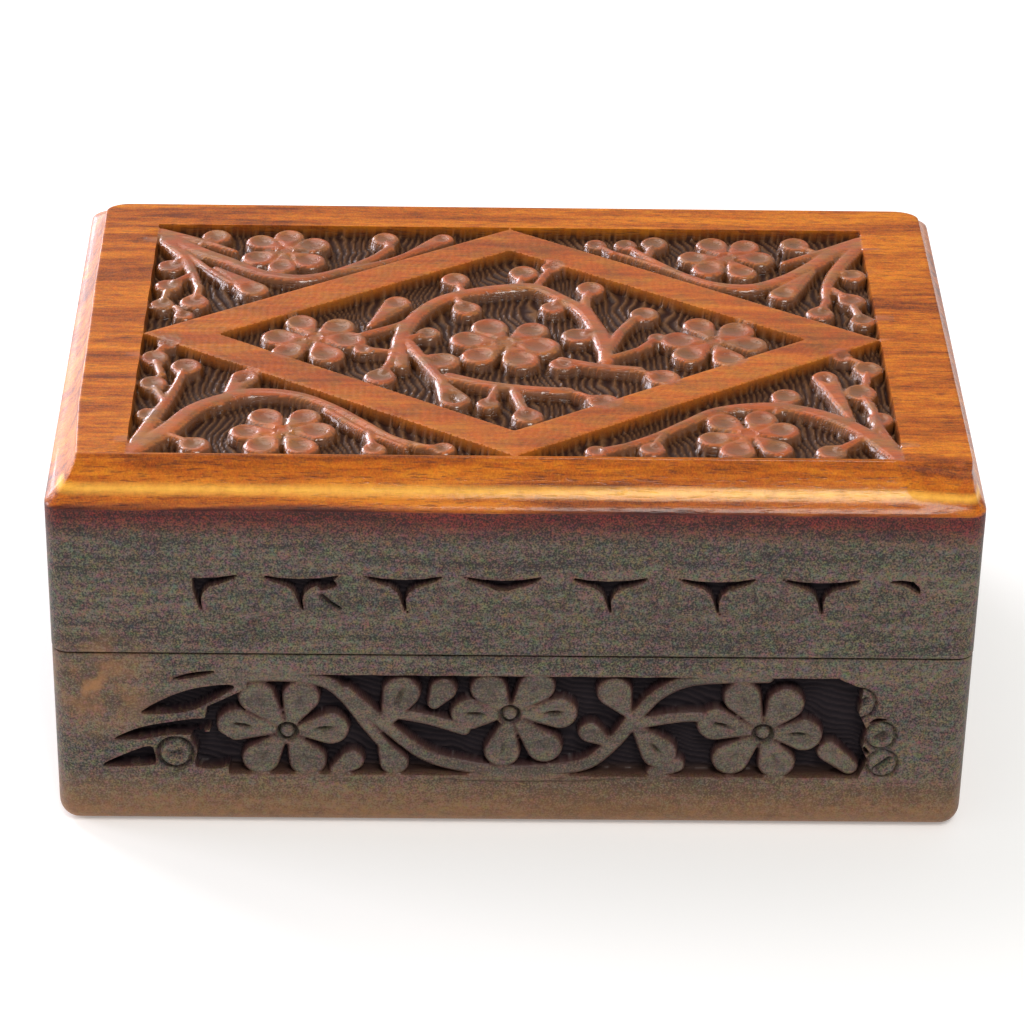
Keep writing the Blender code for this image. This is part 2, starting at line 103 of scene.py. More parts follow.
class NodeDesk:
    """A short way to lay nodes in a material or geometry tree."""

    def __init__(self, tree: bpy.types.NodeTree) -> None:
        """Keep the tree that the nodes go in."""
        self.tree = tree

    def add(self, kind: str, settings: dict | None = None, **inputs: Value) -> bpy.types.Node:
        """Add a node, set it and feed its inputs.

        Args:
            kind: the node's Blender type.
            settings: properties of the node itself.
            inputs: values or sockets, by the input's name with underscores for spaces, or by i
                and its number.

        Returns:
            The new node.
        """
        node = self.tree.nodes.new(kind)
        for name, value in (settings or {}).items():
            setattr(node, name, value)
        for name, value in inputs.items():
            numbered = name[1:].isdigit()
            self.feed(node, int(name[1:]) if numbered else name.replace("_", " "), value)
        return node

    def feed(self, node: bpy.types.Node, name: str | int, value: Value) -> None:
        """Link a socket to one of a node's inputs, or set the input's value."""
        socket = node.inputs[name]
        if isinstance(value, Socket):
            self.tree.links.new(value, socket)
        else:
            socket.default_value = value

    def math(self, operation: str, first: Value, second: Value = 0.0, clamp: bool = False) -> Socket:
        """Combine two numbers, clamped between 0 and 1 if wanted."""
        node = self.add("ShaderNodeMath", {"operation": operation, "use_clamp": clamp}, i0=first)
        self.feed(node, 1, second)
        return node.outputs[0]

    def plus(self, first: Value, second: Value) -> Socket:
        """Add two numbers."""
        return self.math("ADD", first, second)

    def minus(self, first: Value, second: Value) -> Socket:
        """Subtract the second number from the first."""
        return self.math("SUBTRACT", first, second)

    def times(self, first: Value, second: Value, clamp: bool = False) -> Socket:
        """Multiply two numbers."""
        return self.math("MULTIPLY", first, second, clamp)

    def noise(self, place: Value, scale: float, detail: float, **inputs: float) -> Socket:
        """Add a noise texture and return its number."""
        return self.add("ShaderNodeTexNoise", Vector=place, Scale=scale, Detail=detail, **inputs).outputs[0]

    def blend(self, share: Value, first: Value, second: Value, mode: str = "MIX") -> Socket:
        """Blend two colours; the share is how much there is of the second."""
        settings = {"data_type": "RGBA", "blend_type": mode}
        return self.add("ShaderNodeMix", settings, i0=share, i6=first, i7=second).outputs[2]

    def tint(self, share: Value, first: Value, colour: Triple) -> Socket:
        """Blend a plain colour into another."""
        return self.blend(share, first, (*colour, 1.0))

    def ramp(self, factor: Value, stops: list[tuple[float, Triple]]) -> Socket:
        """Map a number to a colour, by places and colours in order."""
        node = self.add("ShaderNodeValToRGB", i0=factor)
        ramp = node.color_ramp
        while len(ramp.elements) < len(stops):
            ramp.elements.new(0.5)
        for element, (place, colour) in zip(ramp.elements, stops):
            element.position = place
            element.color = (*colour, 1.0)
        return node.outputs[0]

    def bump(self, strength: float, distance: float, height: Value) -> Socket:
        """Turn a height into a bumped normal."""
        return self.add("ShaderNodeBump", Strength=strength, Distance=distance, Height=height).outputs[0]


def grey(value: float) -> Triple:
    """Return a grey colour."""
    return (value, value, value)


def new_material(name: str) -> tuple[bpy.types.Material, NodeDesk, bpy.types.Node, Socket]:
    """Start a node material.

    Args:
        name: the material's name.

    Returns:
        The material, its node desk, its shader and the object coordinates' socket.
    """
    material = bpy.data.materials.new(name)
    material.use_nodes = True
    desk = NodeDesk(material.node_tree)
    shader = material.node_tree.nodes["Principled BSDF"]
    return material, desk, shader, desk.add("ShaderNodeTexCoord").outputs["Object"]


@dataclass(frozen=True)
class Palette:
    """A wood's pale, middle and dark colours."""

    pale: Triple
    middle: Triple
    dark: Triple


@dataclass(frozen=True)
class WoodFinish:
    """Oiled and varnished hardwood, whose colour changes between two heights; its darker palettes are the
    same wood in painted shade.
    """

    name: str
    high: Palette
    low: Palette
    # Painted shade: the heights where the colour moves to the darker, shaded palette below.
    change: tuple[float, float]
    motif: Triple
    worn_motif: Triple
    hollow: Triple
    # The sunk ground's colour: partly stain, partly painted shade in the ground, the grooves and round the
    # motifs.
    recess: Triple
    recess_streak: Triple
    grain: Grain = Grain.ALONG_WIDTH
    roughness: float = 0.42
    specular: float = 0.15
    varnish: float = 0.32
    cover: float = 0.7
    bump: float = 0.35
    varnish_roughness: float = 0.10
    speckle: float = 0.2
    figure: float = 0.55
    tinge: float = 0.3
    # A painted highlight: a gold band between two heights along the front of the cove's foot, standing in
    # for the glint of light there.
    painted_highlight: tuple[float, float] | None = None
    highlight_colour: Triple = (1.0, 0.50, 0.065)
    warm_patch: bool = False
    # Painted light: how high the warm colour of light bounced up from the pale floor reaches, 0 for none.
    painted_bounce_height: float = 0.0
    # The warm colour of the patch near the front's left end and of the painted floor bounce light.
    foot: Triple = (0.32, 0.148, 0.057)

    def make(self) -> bpy.types.Material:
        """Build the material, or find it if it is there already."""
        if self.name in bpy.data.materials:
            return bpy.data.materials[self.name]
        material, desk, shader, place = new_material(self.name)
        along = desk.add("ShaderNodeMapping", Vector=place, Scale=self.grain.value).outputs[0]
        figure = desk.noise(along, 16.0, 5.0, Roughness=0.55, Distortion=0.9)
        streak = desk.noise(along, 95.0, 4.0, Roughness=0.6, Distortion=0.3)
        mottle = desk.noise(place, 520.0, 3.0, Roughness=0.7)
        speckle = desk.noise(place, 3300.0, 2.0)
        tone = desk.plus(desk.times(desk.minus(figure, 0.5), self.figure), 0.275)
        tone = desk.plus(tone, desk.times(streak, 0.33))
        fine = desk.plus(desk.times(mottle, 0.10), desk.times(speckle, self.speckle))
        tone = desk.plus(desk.minus(tone, self.speckle / 2 - 0.01), fine)
        height = desk.add("ShaderNodeSeparateXYZ", Vector=place).outputs[2]
        uneven = desk.plus(height, desk.times(desk.minus(figure, 0.5), 0.004))
        # Painted shade: below these heights the wood takes the darker palette of its shaded faces.
        low, high = self.change
        eased = {"interpolation_type": "SMOOTHSTEP"}
        step = desk.add("ShaderNodeMapRange", eased, i0=uneven, i1=low, i2=high).outputs[0]
        colours = [
            desk.ramp(tone, [(0.38, part.dark), (0.49, part.middle), (0.61, part.pale)])
            for part in (self.low, self.high)
        ]
        colour = desk.blend(step, *colours)
        flecks = desk.add("ShaderNodeTexNoise", Vector=place, Scale=850.0, Detail=3.0, Roughness=0.8)
        colour = desk.blend(self.tinge, colour, flecks.outputs["Color"], "OVERLAY")
        stretched = desk.add("ShaderNodeMapping", Vector=along, Scale=grey(2.6)).outputs[0]
        pores = desk.noise(stretched, 150.0, 2.0, Roughness=0.5)
        pores = desk.ramp(pores, [(0.33, grey(0.0)), (0.43, grey(1.0))])
        colour = desk.tint(desk.times(desk.minus(1.0, pores), 0.5), colour, self.low.dark)
        desk.feed(shader, "Base Color", self.tint_and_paint_light(desk, place, colour, height, mottle))
        desk.feed(shader, "Roughness", desk.plus(desk.times(mottle, 0.18), self.roughness - 0.09))
        shader.inputs["Coat Weight"].default_value = self.varnish
        shader.inputs["Coat Roughness"].default_value = self.varnish_roughness
        shader.inputs["Coat IOR"].default_value = 1.5
        shader.inputs["Specular IOR Level"].default_value = self.specular
        relief = desk.plus(desk.times(pores, 0.5), desk.times(streak, 0.5))
        relief = desk.plus(relief, desk.times(mottle, 0.35))
        desk.feed(shader, "Normal", desk.bump(self.bump, 0.00022, relief))
        desk.feed(shader, "Coat Normal", desk.bump(self.bump / 2, 0.0002, relief))
        return material

    def tint_and_paint_light(
        self, desk: NodeDesk, place: Socket, colour: Socket, height: Socket, mottle: Socket
    ) -> Socket:
        """Tint the motifs, paint a gold highlight along the cove's front foot, darken the ground with stain
        and painted shade, lighten the arrises, warm a patch near the front's left end and paint light
        bounced from the floor along the bottom.

        Args:
            desk: the tree's node desk.
            place: the object coordinates.
            colour: the plain wood's colour.
            height: the height above the floor.
            mottle: a fine noise.

        Returns:
            The colour's socket.
        """
        patch = desk.times(desk.minus(desk.noise(place, 260.0, 3.0), 0.42), 5.0, clamp=True)
        # Painted highlight: the gold band along the front of the cove's foot.
        if self.painted_highlight:
            rise, fall = (
                desk.math("DIVIDE", desk.minus(*ends), HIGHLIGHT_BAND_EDGE, clamp=True)
                for ends in ((height, self.painted_highlight[0]), (self.painted_highlight[1], height))
            )
            share = desk.times(rise, desk.times(fall, desk.plus(mottle, 0.3)))
            depth = desk.add("ShaderNodeSeparateXYZ", Vector=place).outputs[1]
            front = desk.times(desk.minus(HIGHLIGHT_BAND_BACK, depth), 900.0, clamp=True)
            colour = desk.tint(desk.times(share, front), colour, self.highlight_colour)
        motif = desk.tint(patch, (*self.motif, 1.0), self.worn_motif)
        colour = desk.blend(desk.times(self.mask(desk, "carved"), self.cover), colour, motif)
        colour = desk.tint(desk.times(self.mask(desk, "scooped"), self.cover), colour, self.hollow)
        # Stain and painted shade: the sunk ground, the grooves and the motifs' outlines darken.
        ground = desk.tint(self.mask(desk, "ridge"), (*self.recess, 1.0), self.recess_streak)
        colour = desk.blend(desk.math("POWER", self.mask(desk, "recess"), 0.5), colour, ground)
        bright = desk.tint(0.5, colour, self.high.pale)
        colour = desk.blend(desk.times(self.mask(desk, "arris"), 0.5), colour, bright)
        # A warmer, paler patch near the left end of the front.
        if self.warm_patch:
            spot = desk.add("ShaderNodeVectorMath", {"operation": "DISTANCE"}, i0=place, i1=WARM_PATCH_SPOT)
            near = desk.math("DIVIDE", spot.outputs["Value"], WARM_PATCH_RADIUS)
            share = desk.math("SUBTRACT", 1.0, near, clamp=True)
            share = desk.times(share, desk.plus(desk.times(patch, 0.7), 0.2))
            colour = desk.tint(share, colour, self.foot)
        # Painted light: the board warms towards the foot colour near the floor, standing in for light
        # bounced up from it.
        if self.painted_bounce_height:
            bounce = desk.math("SUBTRACT", 1.0, desk.math("DIVIDE", height, self.painted_bounce_height), clamp=True)
            colour = desk.tint(desk.times(bounce, desk.plus(mottle, 0.2)), colour, self.foot)
        return colour

    @staticmethod
    def mask(desk: NodeDesk, name: str) -> Socket:
        """Read one of the carving's masks."""
        return desk.add("ShaderNodeAttribute", {"attribute_name": name}).outputs["Fac"]


@dataclass(frozen=True)
class MetalFinish:
    """Worn metal with fine scratches."""

    name: str
    bright: Triple
    dull: Triple
    roughness: float

    def make(self) -> bpy.types.Material:
        """Build the material, or find it if it is there already."""
        if self.name in bpy.data.materials:
            return bpy.data.materials[self.name]
        material, desk, shader, place = new_material(self.name)
        tarnish = desk.noise(place, 420.0, 5.0, Roughness=0.65)
        brushed = desk.add("ShaderNodeMapping", Vector=place, Scale=(1.0, 24.0, 24.0)).outputs[0]
        scratch = desk.noise(brushed, 260.0, 3.0)
        desk.feed(shader, "Base Color", desk.ramp(tarnish, [(0.38, self.dull), (0.62, self.bright)]))
        shader.inputs["Metallic"].default_value = 1.0
        desk.feed(shader, "Roughness", desk.plus(desk.times(scratch, 0.22), self.roughness))
        desk.feed(shader, "Normal", desk.bump(0.3, 0.00004, scratch))
        return material


@dataclass(frozen=True)
class VelvetFinish:
    """Short-pile velvet, crushed in soft patches."""

    name: str
    pile: Triple
    crushed: Triple

    def make(self) -> bpy.types.Material:
        """Build the material."""
        material, desk, shader, place = new_material(self.name)
        patch = desk.noise(place, 55.0, 4.0, Roughness=0.6, Distortion=1.2)
        fibre = desk.noise(place, 3200.0, 2.0)
        colour = desk.ramp(patch, [(0.35, self.pile), (0.68, self.crushed)])
        desk.feed(shader, "Base Color", desk.tint(desk.times(fibre, 0.5), colour, self.pile))
        shader.inputs["Roughness"].default_value = 0.95
        shader.inputs["Sheen Weight"].default_value = 0.85
        shader.inputs["Sheen Roughness"].default_value = 0.32
        shader.inputs["Sheen Tint"].default_value = (1.0, 0.42, 0.45, 1.0)
        shader.inputs["Specular IOR Level"].default_value = 0.1
        desk.feed(shader, "Normal", desk.bump(0.6, 0.0002, desk.plus(fibre, desk.times(patch, 1.5))))
        return material


# The lit wood, then the same wood darkened as painted shade: a red-brown for the band under the top's edge
# and the tops of the sides, and a grey-brown for the sides lower down.
ORANGE = Palette((0.72, 0.222, 0.011), (0.465, 0.108, 0.006), (0.18, 0.036, 0.005))
SHADED_RUSSET = Palette((0.165, 0.030, 0.020), (0.086, 0.015, 0.012), (0.028, 0.007, 0.007))
SHADED_UMBER = Palette((0.160, 0.117, 0.083), (0.092, 0.072, 0.054), (0.030, 0.024, 0.021))
TOP_WOOD = WoodFinish(
    name="varnished_top",
    high=ORANGE,
    # Painted shade on the upright band under the top's edge.
    low=SHADED_RUSSET,
    change=(0.0612, 0.0626),
    motif=(0.47, 0.100, 0.034),
    worn_motif=(0.28, 0.120, 0.044),
    hollow=(0.180, 0.084, 0.040),
    recess=(0.030, 0.010, 0.007),
    recess_streak=(0.20, 0.090, 0.036),
    # The heights of the painted highlight along the cove's foot.
    painted_highlight=(0.0631, 0.0651),
)
MOTIF_WOOD = replace(
    TOP_WOOD, name="polished_motifs", varnish=1.0, roughness=0.40, varnish_roughness=0.15, bump=0.8
)
TOP_GROUND = replace(TOP_WOOD, name="carved_ground", varnish=0.15, roughness=0.65, specular=0.15)
# The front, sides and back: the top's wood in painted shade, not a wood of its own.
SHADED_SIDE_WOOD = WoodFinish(
    name="dark_side",
    high=SHADED_RUSSET,
    low=SHADED_UMBER,
    change=(0.0545, 0.0606),
    motif=(0.135, 0.097, 0.073),
    worn_motif=(0.120, 0.100, 0.075),
    hollow=(0.085, 0.066, 0.052),
    recess=(0.010, 0.007, 0.010),
    recess_streak=(0.026, 0.018, 0.020),
    roughness=0.55,
    specular=0.16,
    varnish=0.18,
    varnish_roughness=0.3,
    cover=0.22,
    speckle=0.85,
    figure=0.34,
    tinge=1.0,
    warm_patch=True,
    painted_bounce_height=0.012,
)
SHADED_END_WOOD = replace(SHADED_SIDE_WOOD, name="dark_end", grain=Grain.ALONG_DEPTH)
SHADED_SIDE_GROUND = replace(SHADED_SIDE_WOOD, name="dark_ground", varnish=0.0, roughness=0.8, specular=0.15)
BRASS = MetalFinish("hinge_brass", (0.86, 0.62, 0.26), (0.52, 0.33, 0.12), 0.22)
STEEL = MetalFinish("pin_steel", (0.60, 0.58, 0.55), (0.30, 0.26, 0.23), 0.30)
VELVET = VelvetFinish("red_velvet", (0.13, 0.004, 0.010), (0.34, 0.016, 0.030))


# ---- What a relief is carved from ----


def smooth_path(points: tuple[Point, ...], steps: int = 6) -> np.ndarray:
    """Draw a smooth line through a stem's points.

    Args:
        points: the points that the line passes.
        steps: how many stretches there are between two points.

    Returns:
        The line's points.
    """
    line = np.array(points, float)
    ends = np.vstack([2 * line[0] - line[1], line, 2 * line[-1] - line[-2]])
    path = []
    for before, start, end, after in zip(ends, ends[1:], ends[2:], ends[3:]):
        for step in range(steps):
            t = step / steps
            path.append(
                0.5 * (2 * start + (end - before) * t
                       + (2 * before - 5 * start + 4 * end - after) * t ** 2
                       + (3 * start - before - 3 * end + after) * t ** 3)
            )
    path.append(line[-1])
    return np.array(path)


def tapered_distance(
    places: np.ndarray, start: np.ndarray, end: np.ndarray, wide: float, narrow: float
) -> np.ndarray:
    """Measure how far places lie outside two circles and the straight sides that join them.

    Args:
        places: the places to measure.
        start: the first circle's centre.
        end: the second circle's centre.
        wide: the first circle's radius.
        narrow: the second circle's radius.

    Returns:
        The distances, negative inside.
    """
    axis = end - start
    square = axis @ axis
    taper = wide - narrow
    rest = square - taper * taper
    if rest <= 0:
        middle = start if wide > narrow else end
        return np.hypot(*(places - middle).T) - max(wide, narrow)
    offset = places - start
    along = offset @ axis
    past = along - square
    across = offset * square - np.outer(along, axis)
    side = (across * across).sum(1)
    along_square = along * along * square
    past_square = past * past * square
    limit = np.sign(taper) * taper * taper * side
    beyond_end = np.sign(past) * rest * past_square > limit
    before_start = np.sign(along) * rest * along_square < limit
    middle = (np.sqrt(side * rest / square) + along * taper) / square - wide
    return np.where(
        beyond_end,
        np.sqrt(side + past_square) / square - narrow,
        np.where(before_start, np.sqrt(side + along_square) / square - wide, middle),
    )


def within(places: np.ndarray, low: np.ndarray, high: np.ndarray) -> np.ndarray:
    """Return the numbers of the places between two corners."""
    return np.nonzero(((places > low) & (places < high)).all(1))[0]


@dataclass(frozen=True)
class Lobe:
    """A petal, bud or leaf: a round head on a narrower foot, scooped or slit by a gouge."""

    head: Point
    foot: Point
    radius: float
    foot_radius: float = 0.8
    scoop: float = 0.45
    slit: float = 0.0
    level: float = -0.25

    def near(self, places: np.ndarray, margin: float) -> np.ndarray:
        """Return the numbers of the places that the lobe and a margin may touch."""
        reach = max(self.radius, self.foot_radius) + margin
        ends = (self.head, self.foot)
        return within(places, np.min(ends, 0) - reach, np.max(ends, 0) + reach)

    def distance(self, places: np.ndarray) -> np.ndarray:
        """Return how far places lie outside the outline."""
        head = np.array(self.head, float)
        return tapered_distance(places, np.array(self.foot, float), head, self.foot_radius, self.radius)

    def bowl(self, places: np.ndarray) -> np.ndarray:
        """Return 1 in the middle of the scoop, falling to 0 at its rim."""
        head = np.array(self.head, float)
        towards = np.array(self.foot, float) - head
        middle = head + 0.12 * self.radius * towards / max(np.hypot(*towards), 0.001)
        reach = 0.76 * self.radius
        return np.clip(1 - ((places - middle) ** 2).sum(1) / reach ** 2, 0, 1)

    def top(self, places: np.ndarray, outside: np.ndarray) -> np.ndarray:
        """Shape the lobe's upper side.

        Args:
            places: the places on it.
            outside: their distances outside the outline.

        Returns:
            The heights of the upper side.
        """
        head = np.array(self.head, float)
        foot = np.array(self.foot, float)
        length = max(np.hypot(*(head - foot)), 0.001)
        axis = (head - foot) / length
        offset = places - head
        along = offset @ axis
        across = offset @ np.array([-axis[1], axis[0]])
        edge = np.clip(1 + outside / 0.80, 0, 1)
        height = self.level - 0.50 * edge ** 1.2 - self.scoop * self.bowl(places) ** 0.8
        if self.slit:
            window = np.clip(1.25 - np.abs(along + 0.35 * self.radius) / (0.62 * self.radius), 0, 1)
            groove = np.clip(1 - np.abs(across) / 0.55, 0, 1)
            height = height - self.slit * groove * window
        return height


@dataclass(frozen=True)
class Stem:
    """A stem that swells or thins along a smooth line, with a crowned back."""

    points: tuple[Point, ...]
    start_width: float = 1.1
    end_width: float = 0.6
    level: float = -0.12
    crown: float = 0.12

    def near(self, places: np.ndarray, margin: float) -> np.ndarray:
        """Return the numbers of the places that the stem and a margin may touch."""
        reach = max(self.start_width, self.end_width) + margin + 0.5
        return within(places, np.min(self.points, 0) - reach, np.max(self.points, 0) + reach)

    def distance(self, places: np.ndarray) -> np.ndarray:
        """Return how far places lie outside the outline."""
        path = smooth_path(self.points)
        widths = np.linspace(self.start_width, self.end_width, len(path))
        nearest = np.full(len(places), 9.0)
        for start, end, wide, narrow in zip(path, path[1:], widths, widths[1:]):
            nearest = np.minimum(nearest, tapered_distance(places, start, end, wide, narrow))
        return nearest

    def top(self, places: np.ndarray, outside: np.ndarray) -> np.ndarray:
        """Return the heights of the stem's crowned back."""
        inward = np.clip(1 + outside / max(self.start_width, self.end_width), 0, 1)
        edge = np.clip(1 + outside / 0.80, 0, 1)
        return self.level - 0.45 * edge ** 1.2 - self.crown * inward ** 2


@dataclass(frozen=True)
class Boss:
    """A flower's round middle, ringed by a gouge."""

    centre: Point
    radius: float
    level: float = -0.15

    def near(self, places: np.ndarray, margin: float) -> np.ndarray:
        """Return the numbers of the places that the boss may touch."""
        reach = self.radius + margin
        return np.nonzero((np.abs(places - np.array(self.centre)) < reach).all(1))[0]

    def distance(self, places: np.ndarray) -> np.ndarray:
        """Return how far places lie outside the outline."""
        return np.hypot(*(places - np.array(self.centre)).T) - self.radius

    def top(self, places: np.ndarray, outside: np.ndarray) -> np.ndarray:
        """Return the heights, with a ring and a hollow seed in the middle."""
        rim = np.clip(1 - np.abs(outside + 0.34 * self.radius) / (0.22 * self.radius), 0, 1)
        seed = np.clip(1 + outside / self.radius - 0.72, -1, 1)
        hollow = np.clip(-seed * 2.2, 0, 1)
        return self.level - 0.45 * rim - 0.3 * hollow


@dataclass(frozen=True)
class Flower:
    """Petals round a boss. Each petal has its own angle, in degrees, and reach."""

    centre: Point
    petals: tuple[Point, ...]
    radius: float
    boss: float = 1.7
    scoop: float = 0.5

    def shapes(self) -> list[Lobe | Boss]:
        """Return the petals and the boss."""
        shapes = []
        for number, (angle, reach) in enumerate(self.petals):
            uneven = sin(2.6 * number + self.centre[0])
            angle += 5.0 * sin(4.1 * number + self.centre[1])
            turn = np.array([cos(radians(angle)), sin(radians(angle))])
            head = np.array(self.centre) + (1 + 0.04 * uneven) * reach * turn
            foot = np.array(self.centre) + 1.5 * turn
            radius = (1 - 0.06 * uneven) * self.radius
            shapes.append(Lobe(tuple(head), tuple(foot), radius, 0.9, self.scoop))
        shapes.append(Boss(self.centre, self.boss))
        return shapes


@dataclass(frozen=True)
class Land:
    """A stretch of the face that is left standing, of any outline."""

    outline: tuple[Point, ...]
    curved: bool = False

    def corners(self) -> np.ndarray:
        """Return the outline's points, with curves drawn through them if it is curved."""
        points = np.array(self.outline, float)
        if not self.curved:
            return points
        count = len(points)
        looped = smooth_path(tuple(map(tuple, np.vstack([points[-2:], points, points[:2]]))), 5)
        return looped[10: 10 + 5 * count]

    def near(self, places: np.ndarray, margin: float) -> np.ndarray:
        """Return the numbers of the places that the land and a margin may touch."""
        return within(places, np.min(self.outline, 0) - margin, np.max(self.outline, 0) + margin)

    def distance(self, places: np.ndarray) -> np.ndarray:
        """Return how far places lie outside the outline."""
        corners = self.corners()
        nearest = np.full(len(places), 1e9)
        inside = np.zeros(len(places), bool)
        for start, end in zip(corners, np.roll(corners, -1, 0)):
            side = end - start
            offset = places - start
            share = np.clip(offset @ side / (side @ side), 0, 1)
            nearest = np.minimum(nearest, np.hypot(*(offset - share[:, None] * side).T))
            crosses = (places[:, 1] >= start[1]) != (places[:, 1] >= end[1])
            rise = np.where(crosses, (places[:, 1] - start[1]) / (end[1] - start[1] + 1e-12), 0)
            inside ^= crosses & (places[:, 0] < start[0] + rise * side[0])
        return np.where(inside, -nearest, nearest)

    def top(self, places: np.ndarray, outside: np.ndarray) -> np.ndarray:
        """Return the land's flat height."""
        return np.zeros(len(places))


@dataclass(frozen=True)
class Border:
    """The face round the carved field, which ends in a straight edge."""

    low: Point
    high: Point

    def near(self, places: np.ndarray, margin: float) -> np.ndarray:
        """Return the numbers of all places."""
        return np.arange(len(places))

    def distance(self, places: np.ndarray) -> np.ndarray:
        """Return how far places lie within the field, with the edge a little uneven."""
        wander = 0.05 * np.sin(places[:, 0] * 0.9 + 1.0) * np.cos(places[:, 1] * 0.7)
        inner = np.minimum(places - np.array(self.low), np.array(self.high) - places).min(1)
        return inner + wander

    def top(self, places: np.ndarray, outside: np.ndarray) -> np.ndarray:
        """Return the border's flat height."""
        return np.zeros(len(places))


@dataclass(frozen=True)
class Strap:
    """A flat band round a diamond, crossed by fine gouge marks."""

    centre: Point
    half_size: Point
    width: float
    mark_pitch: float = 1.25
    mark_depth: float = 0.07

    def near(self, places: np.ndarray, margin: float) -> np.ndarray:
        """Return the numbers of all places."""
        return np.arange(len(places))

    def distance(self, places: np.ndarray) -> np.ndarray:
        """Return how far places lie outside the band."""
        wide, high = self.half_size
        offset = np.abs(places - np.array(self.centre))
        outer = (offset[:, 0] / wide + offset[:, 1] / high - 1) / np.hypot(1 / wide, 1 / high)
        return np.maximum(outer, -(outer + self.width))

    def top(self, places: np.ndarray, outside: np.ndarray) -> np.ndarray:
        """Return the band's height with its marks."""
        offset = places - np.array(self.centre)
        slant = np.sign(offset[:, 0] * offset[:, 1])
        lean = offset[:, 0] + 0.30 * slant * offset[:, 1]
        sway = 0.5 * np.sin(offset[:, 1] * 0.8) + 0.4 * np.sin(offset[:, 0] * 0.37 + 2.0)
        marks = np.abs(np.sin(pi * (lean + sway) / self.mark_pitch))
        fade = np.clip(-outside / 0.5, 0, 1)
        return -0.05 - self.mark_depth * marks * fade - 0.14 * (1 - fade) ** 2


Shape = Lobe | Stem | Boss | Land | Border | Strap


@dataclass(frozen=True)
class Groove:
    """A fine line cut into whatever it crosses."""

    points: tuple[Point, ...]
    width: float = 0.45
    depth: float = 0.5

    def cut(self, places: np.ndarray) -> np.ndarray:
        """Return how deep the line is at each place."""
        line = Stem(self.points, 0.01, 0.01)
        depth = np.zeros(len(places))
        near = line.near(places, self.width)
        reach = np.clip(1 - line.distance(places[near]) / self.width, 0, 1)
        depth[near] = self.depth * reach
        return depth


def ring(centre: Point, radius: float, width: float = 0.5, depth: float = 0.7) -> Groove:
    """Return a round groove."""
    turns = [radians(40 * number) for number in range(10)]
    points = tuple((centre[0] + radius * cos(turn), centre[1] + radius * sin(turn)) for turn in turns)
    return Groove(points, width, depth)


@dataclass
class Relief:
    """A carved field: its ground, what stands over it and the lines cut into it."""

    depth: float
    wall: float
    shapes: list[Shape]
    field_low: Point
    field_high: Point
    grooves: list[Groove] = field(default_factory=list)
    pockets: list[Land] = field(default_factory=list)

    def edges(self, places: np.ndarray) -> np.ndarray:
        """Measure how far each place lies outside the nearest standing shape.

        Args:
            places: places on the face, in millimetres.

        Returns:
            The distances, at most twice the wall's width.
        """
        nearest = np.full(len(places), 2 * self.wall)
        for shape in self.shapes:
            near = shape.near(places, 2 * self.wall)
            nearest[near] = np.minimum(nearest[near], shape.distance(places[near]))
        for pocket in self.pockets:
            near = pocket.near(places, 2 * self.wall)
            nearest[near] = np.maximum(nearest[near], -pocket.distance(places[near]))
        return nearest

    def heights(self, places: np.ndarray) -> np.ndarray:
        """Work out the carved surface.

        Args:
            places: places on the face, in millimetres.

        Returns:
            Their heights, 0 at the face and negative below it.
        """
        height = np.full(len(places), -self.depth)
        for shape in self.shapes:
            near = shape.near(places, self.wall)
            outside = shape.distance(places[near])
            fall = self.depth * np.sin(np.clip(outside / self.wall, 0, 1) * pi / 2)
            value = shape.top(places[near], np.minimum(outside, 0)) - fall
            height[near] = np.maximum(height[near], value)
        for pocket in self.pockets:
            near = pocket.near(places, 0)
            inside = -pocket.distance(places[near])
            fall = self.depth * np.sin(np.clip(inside / self.wall, 0, 1) * pi / 2)
            height[near] = np.minimum(height[near], -fall)
        return np.maximum(height - self.scored(places), -self.depth)

    def scored(self, places: np.ndarray) -> np.ndarray:
        """Return how deep the fine lines are at each place."""
        return sum((groove.cut(places) for groove in self.grooves), np.zeros(len(places)))

    def field_mask(self, places: np.ndarray) -> np.ndarray:
        """Return 1 inside the carved field and 0 outside it."""
        inside = (places > np.array(self.field_low)) & (places < np.array(self.field_high))
        return inside.all(1).astype(float)


# ---- Meshes ----


def graded(low: float, fine_low: float, fine_high: float, high: float, fine: float) -> np.ndarray:
    """Space grid lines: fine over the carving, coarse beyond it and close again at the ends.

    Args:
        low: the first line.
        fine_low: where the carving starts.
        fine_high: where it ends.
        high: the last line.
        fine: the spacing over the carving.

    Returns:
        The lines' places.
    """
    middle = np.linspace(fine_low, fine_high, max(2, round((fine_high - fine_low) / fine)) + 1)
    close = np.array([0.0, 0.35, 0.8, 1.35, 2.0, 2.8, 3.8])

    def band(length: float) -> np.ndarray:
        """Return the places of a plain band's lines, from the board's end inwards."""
        if length < 0.6:
            return np.array([0.0])
        ends = close[close < length - 0.4]
        rest = np.linspace(ends[-1], length, max(2, round((length - ends[-1]) / 2.2)) + 1)
        return np.concatenate([ends[:-1], rest])[:-1]

    return np.concatenate(
        [low + band(fine_low - low), middle, (high - band(high - fine_high))[::-1]]
    )


def ring_of(rows: int, columns: int) -> np.ndarray:
    """Return a grid's outer vertices, anticlockwise from the first corner."""
    grid = np.arange(rows * columns).reshape(rows, columns)
    return np.concatenate([grid[0, :-1], grid[:-1, -1], grid[-1, :0:-1], grid[:0:-1, 0]])


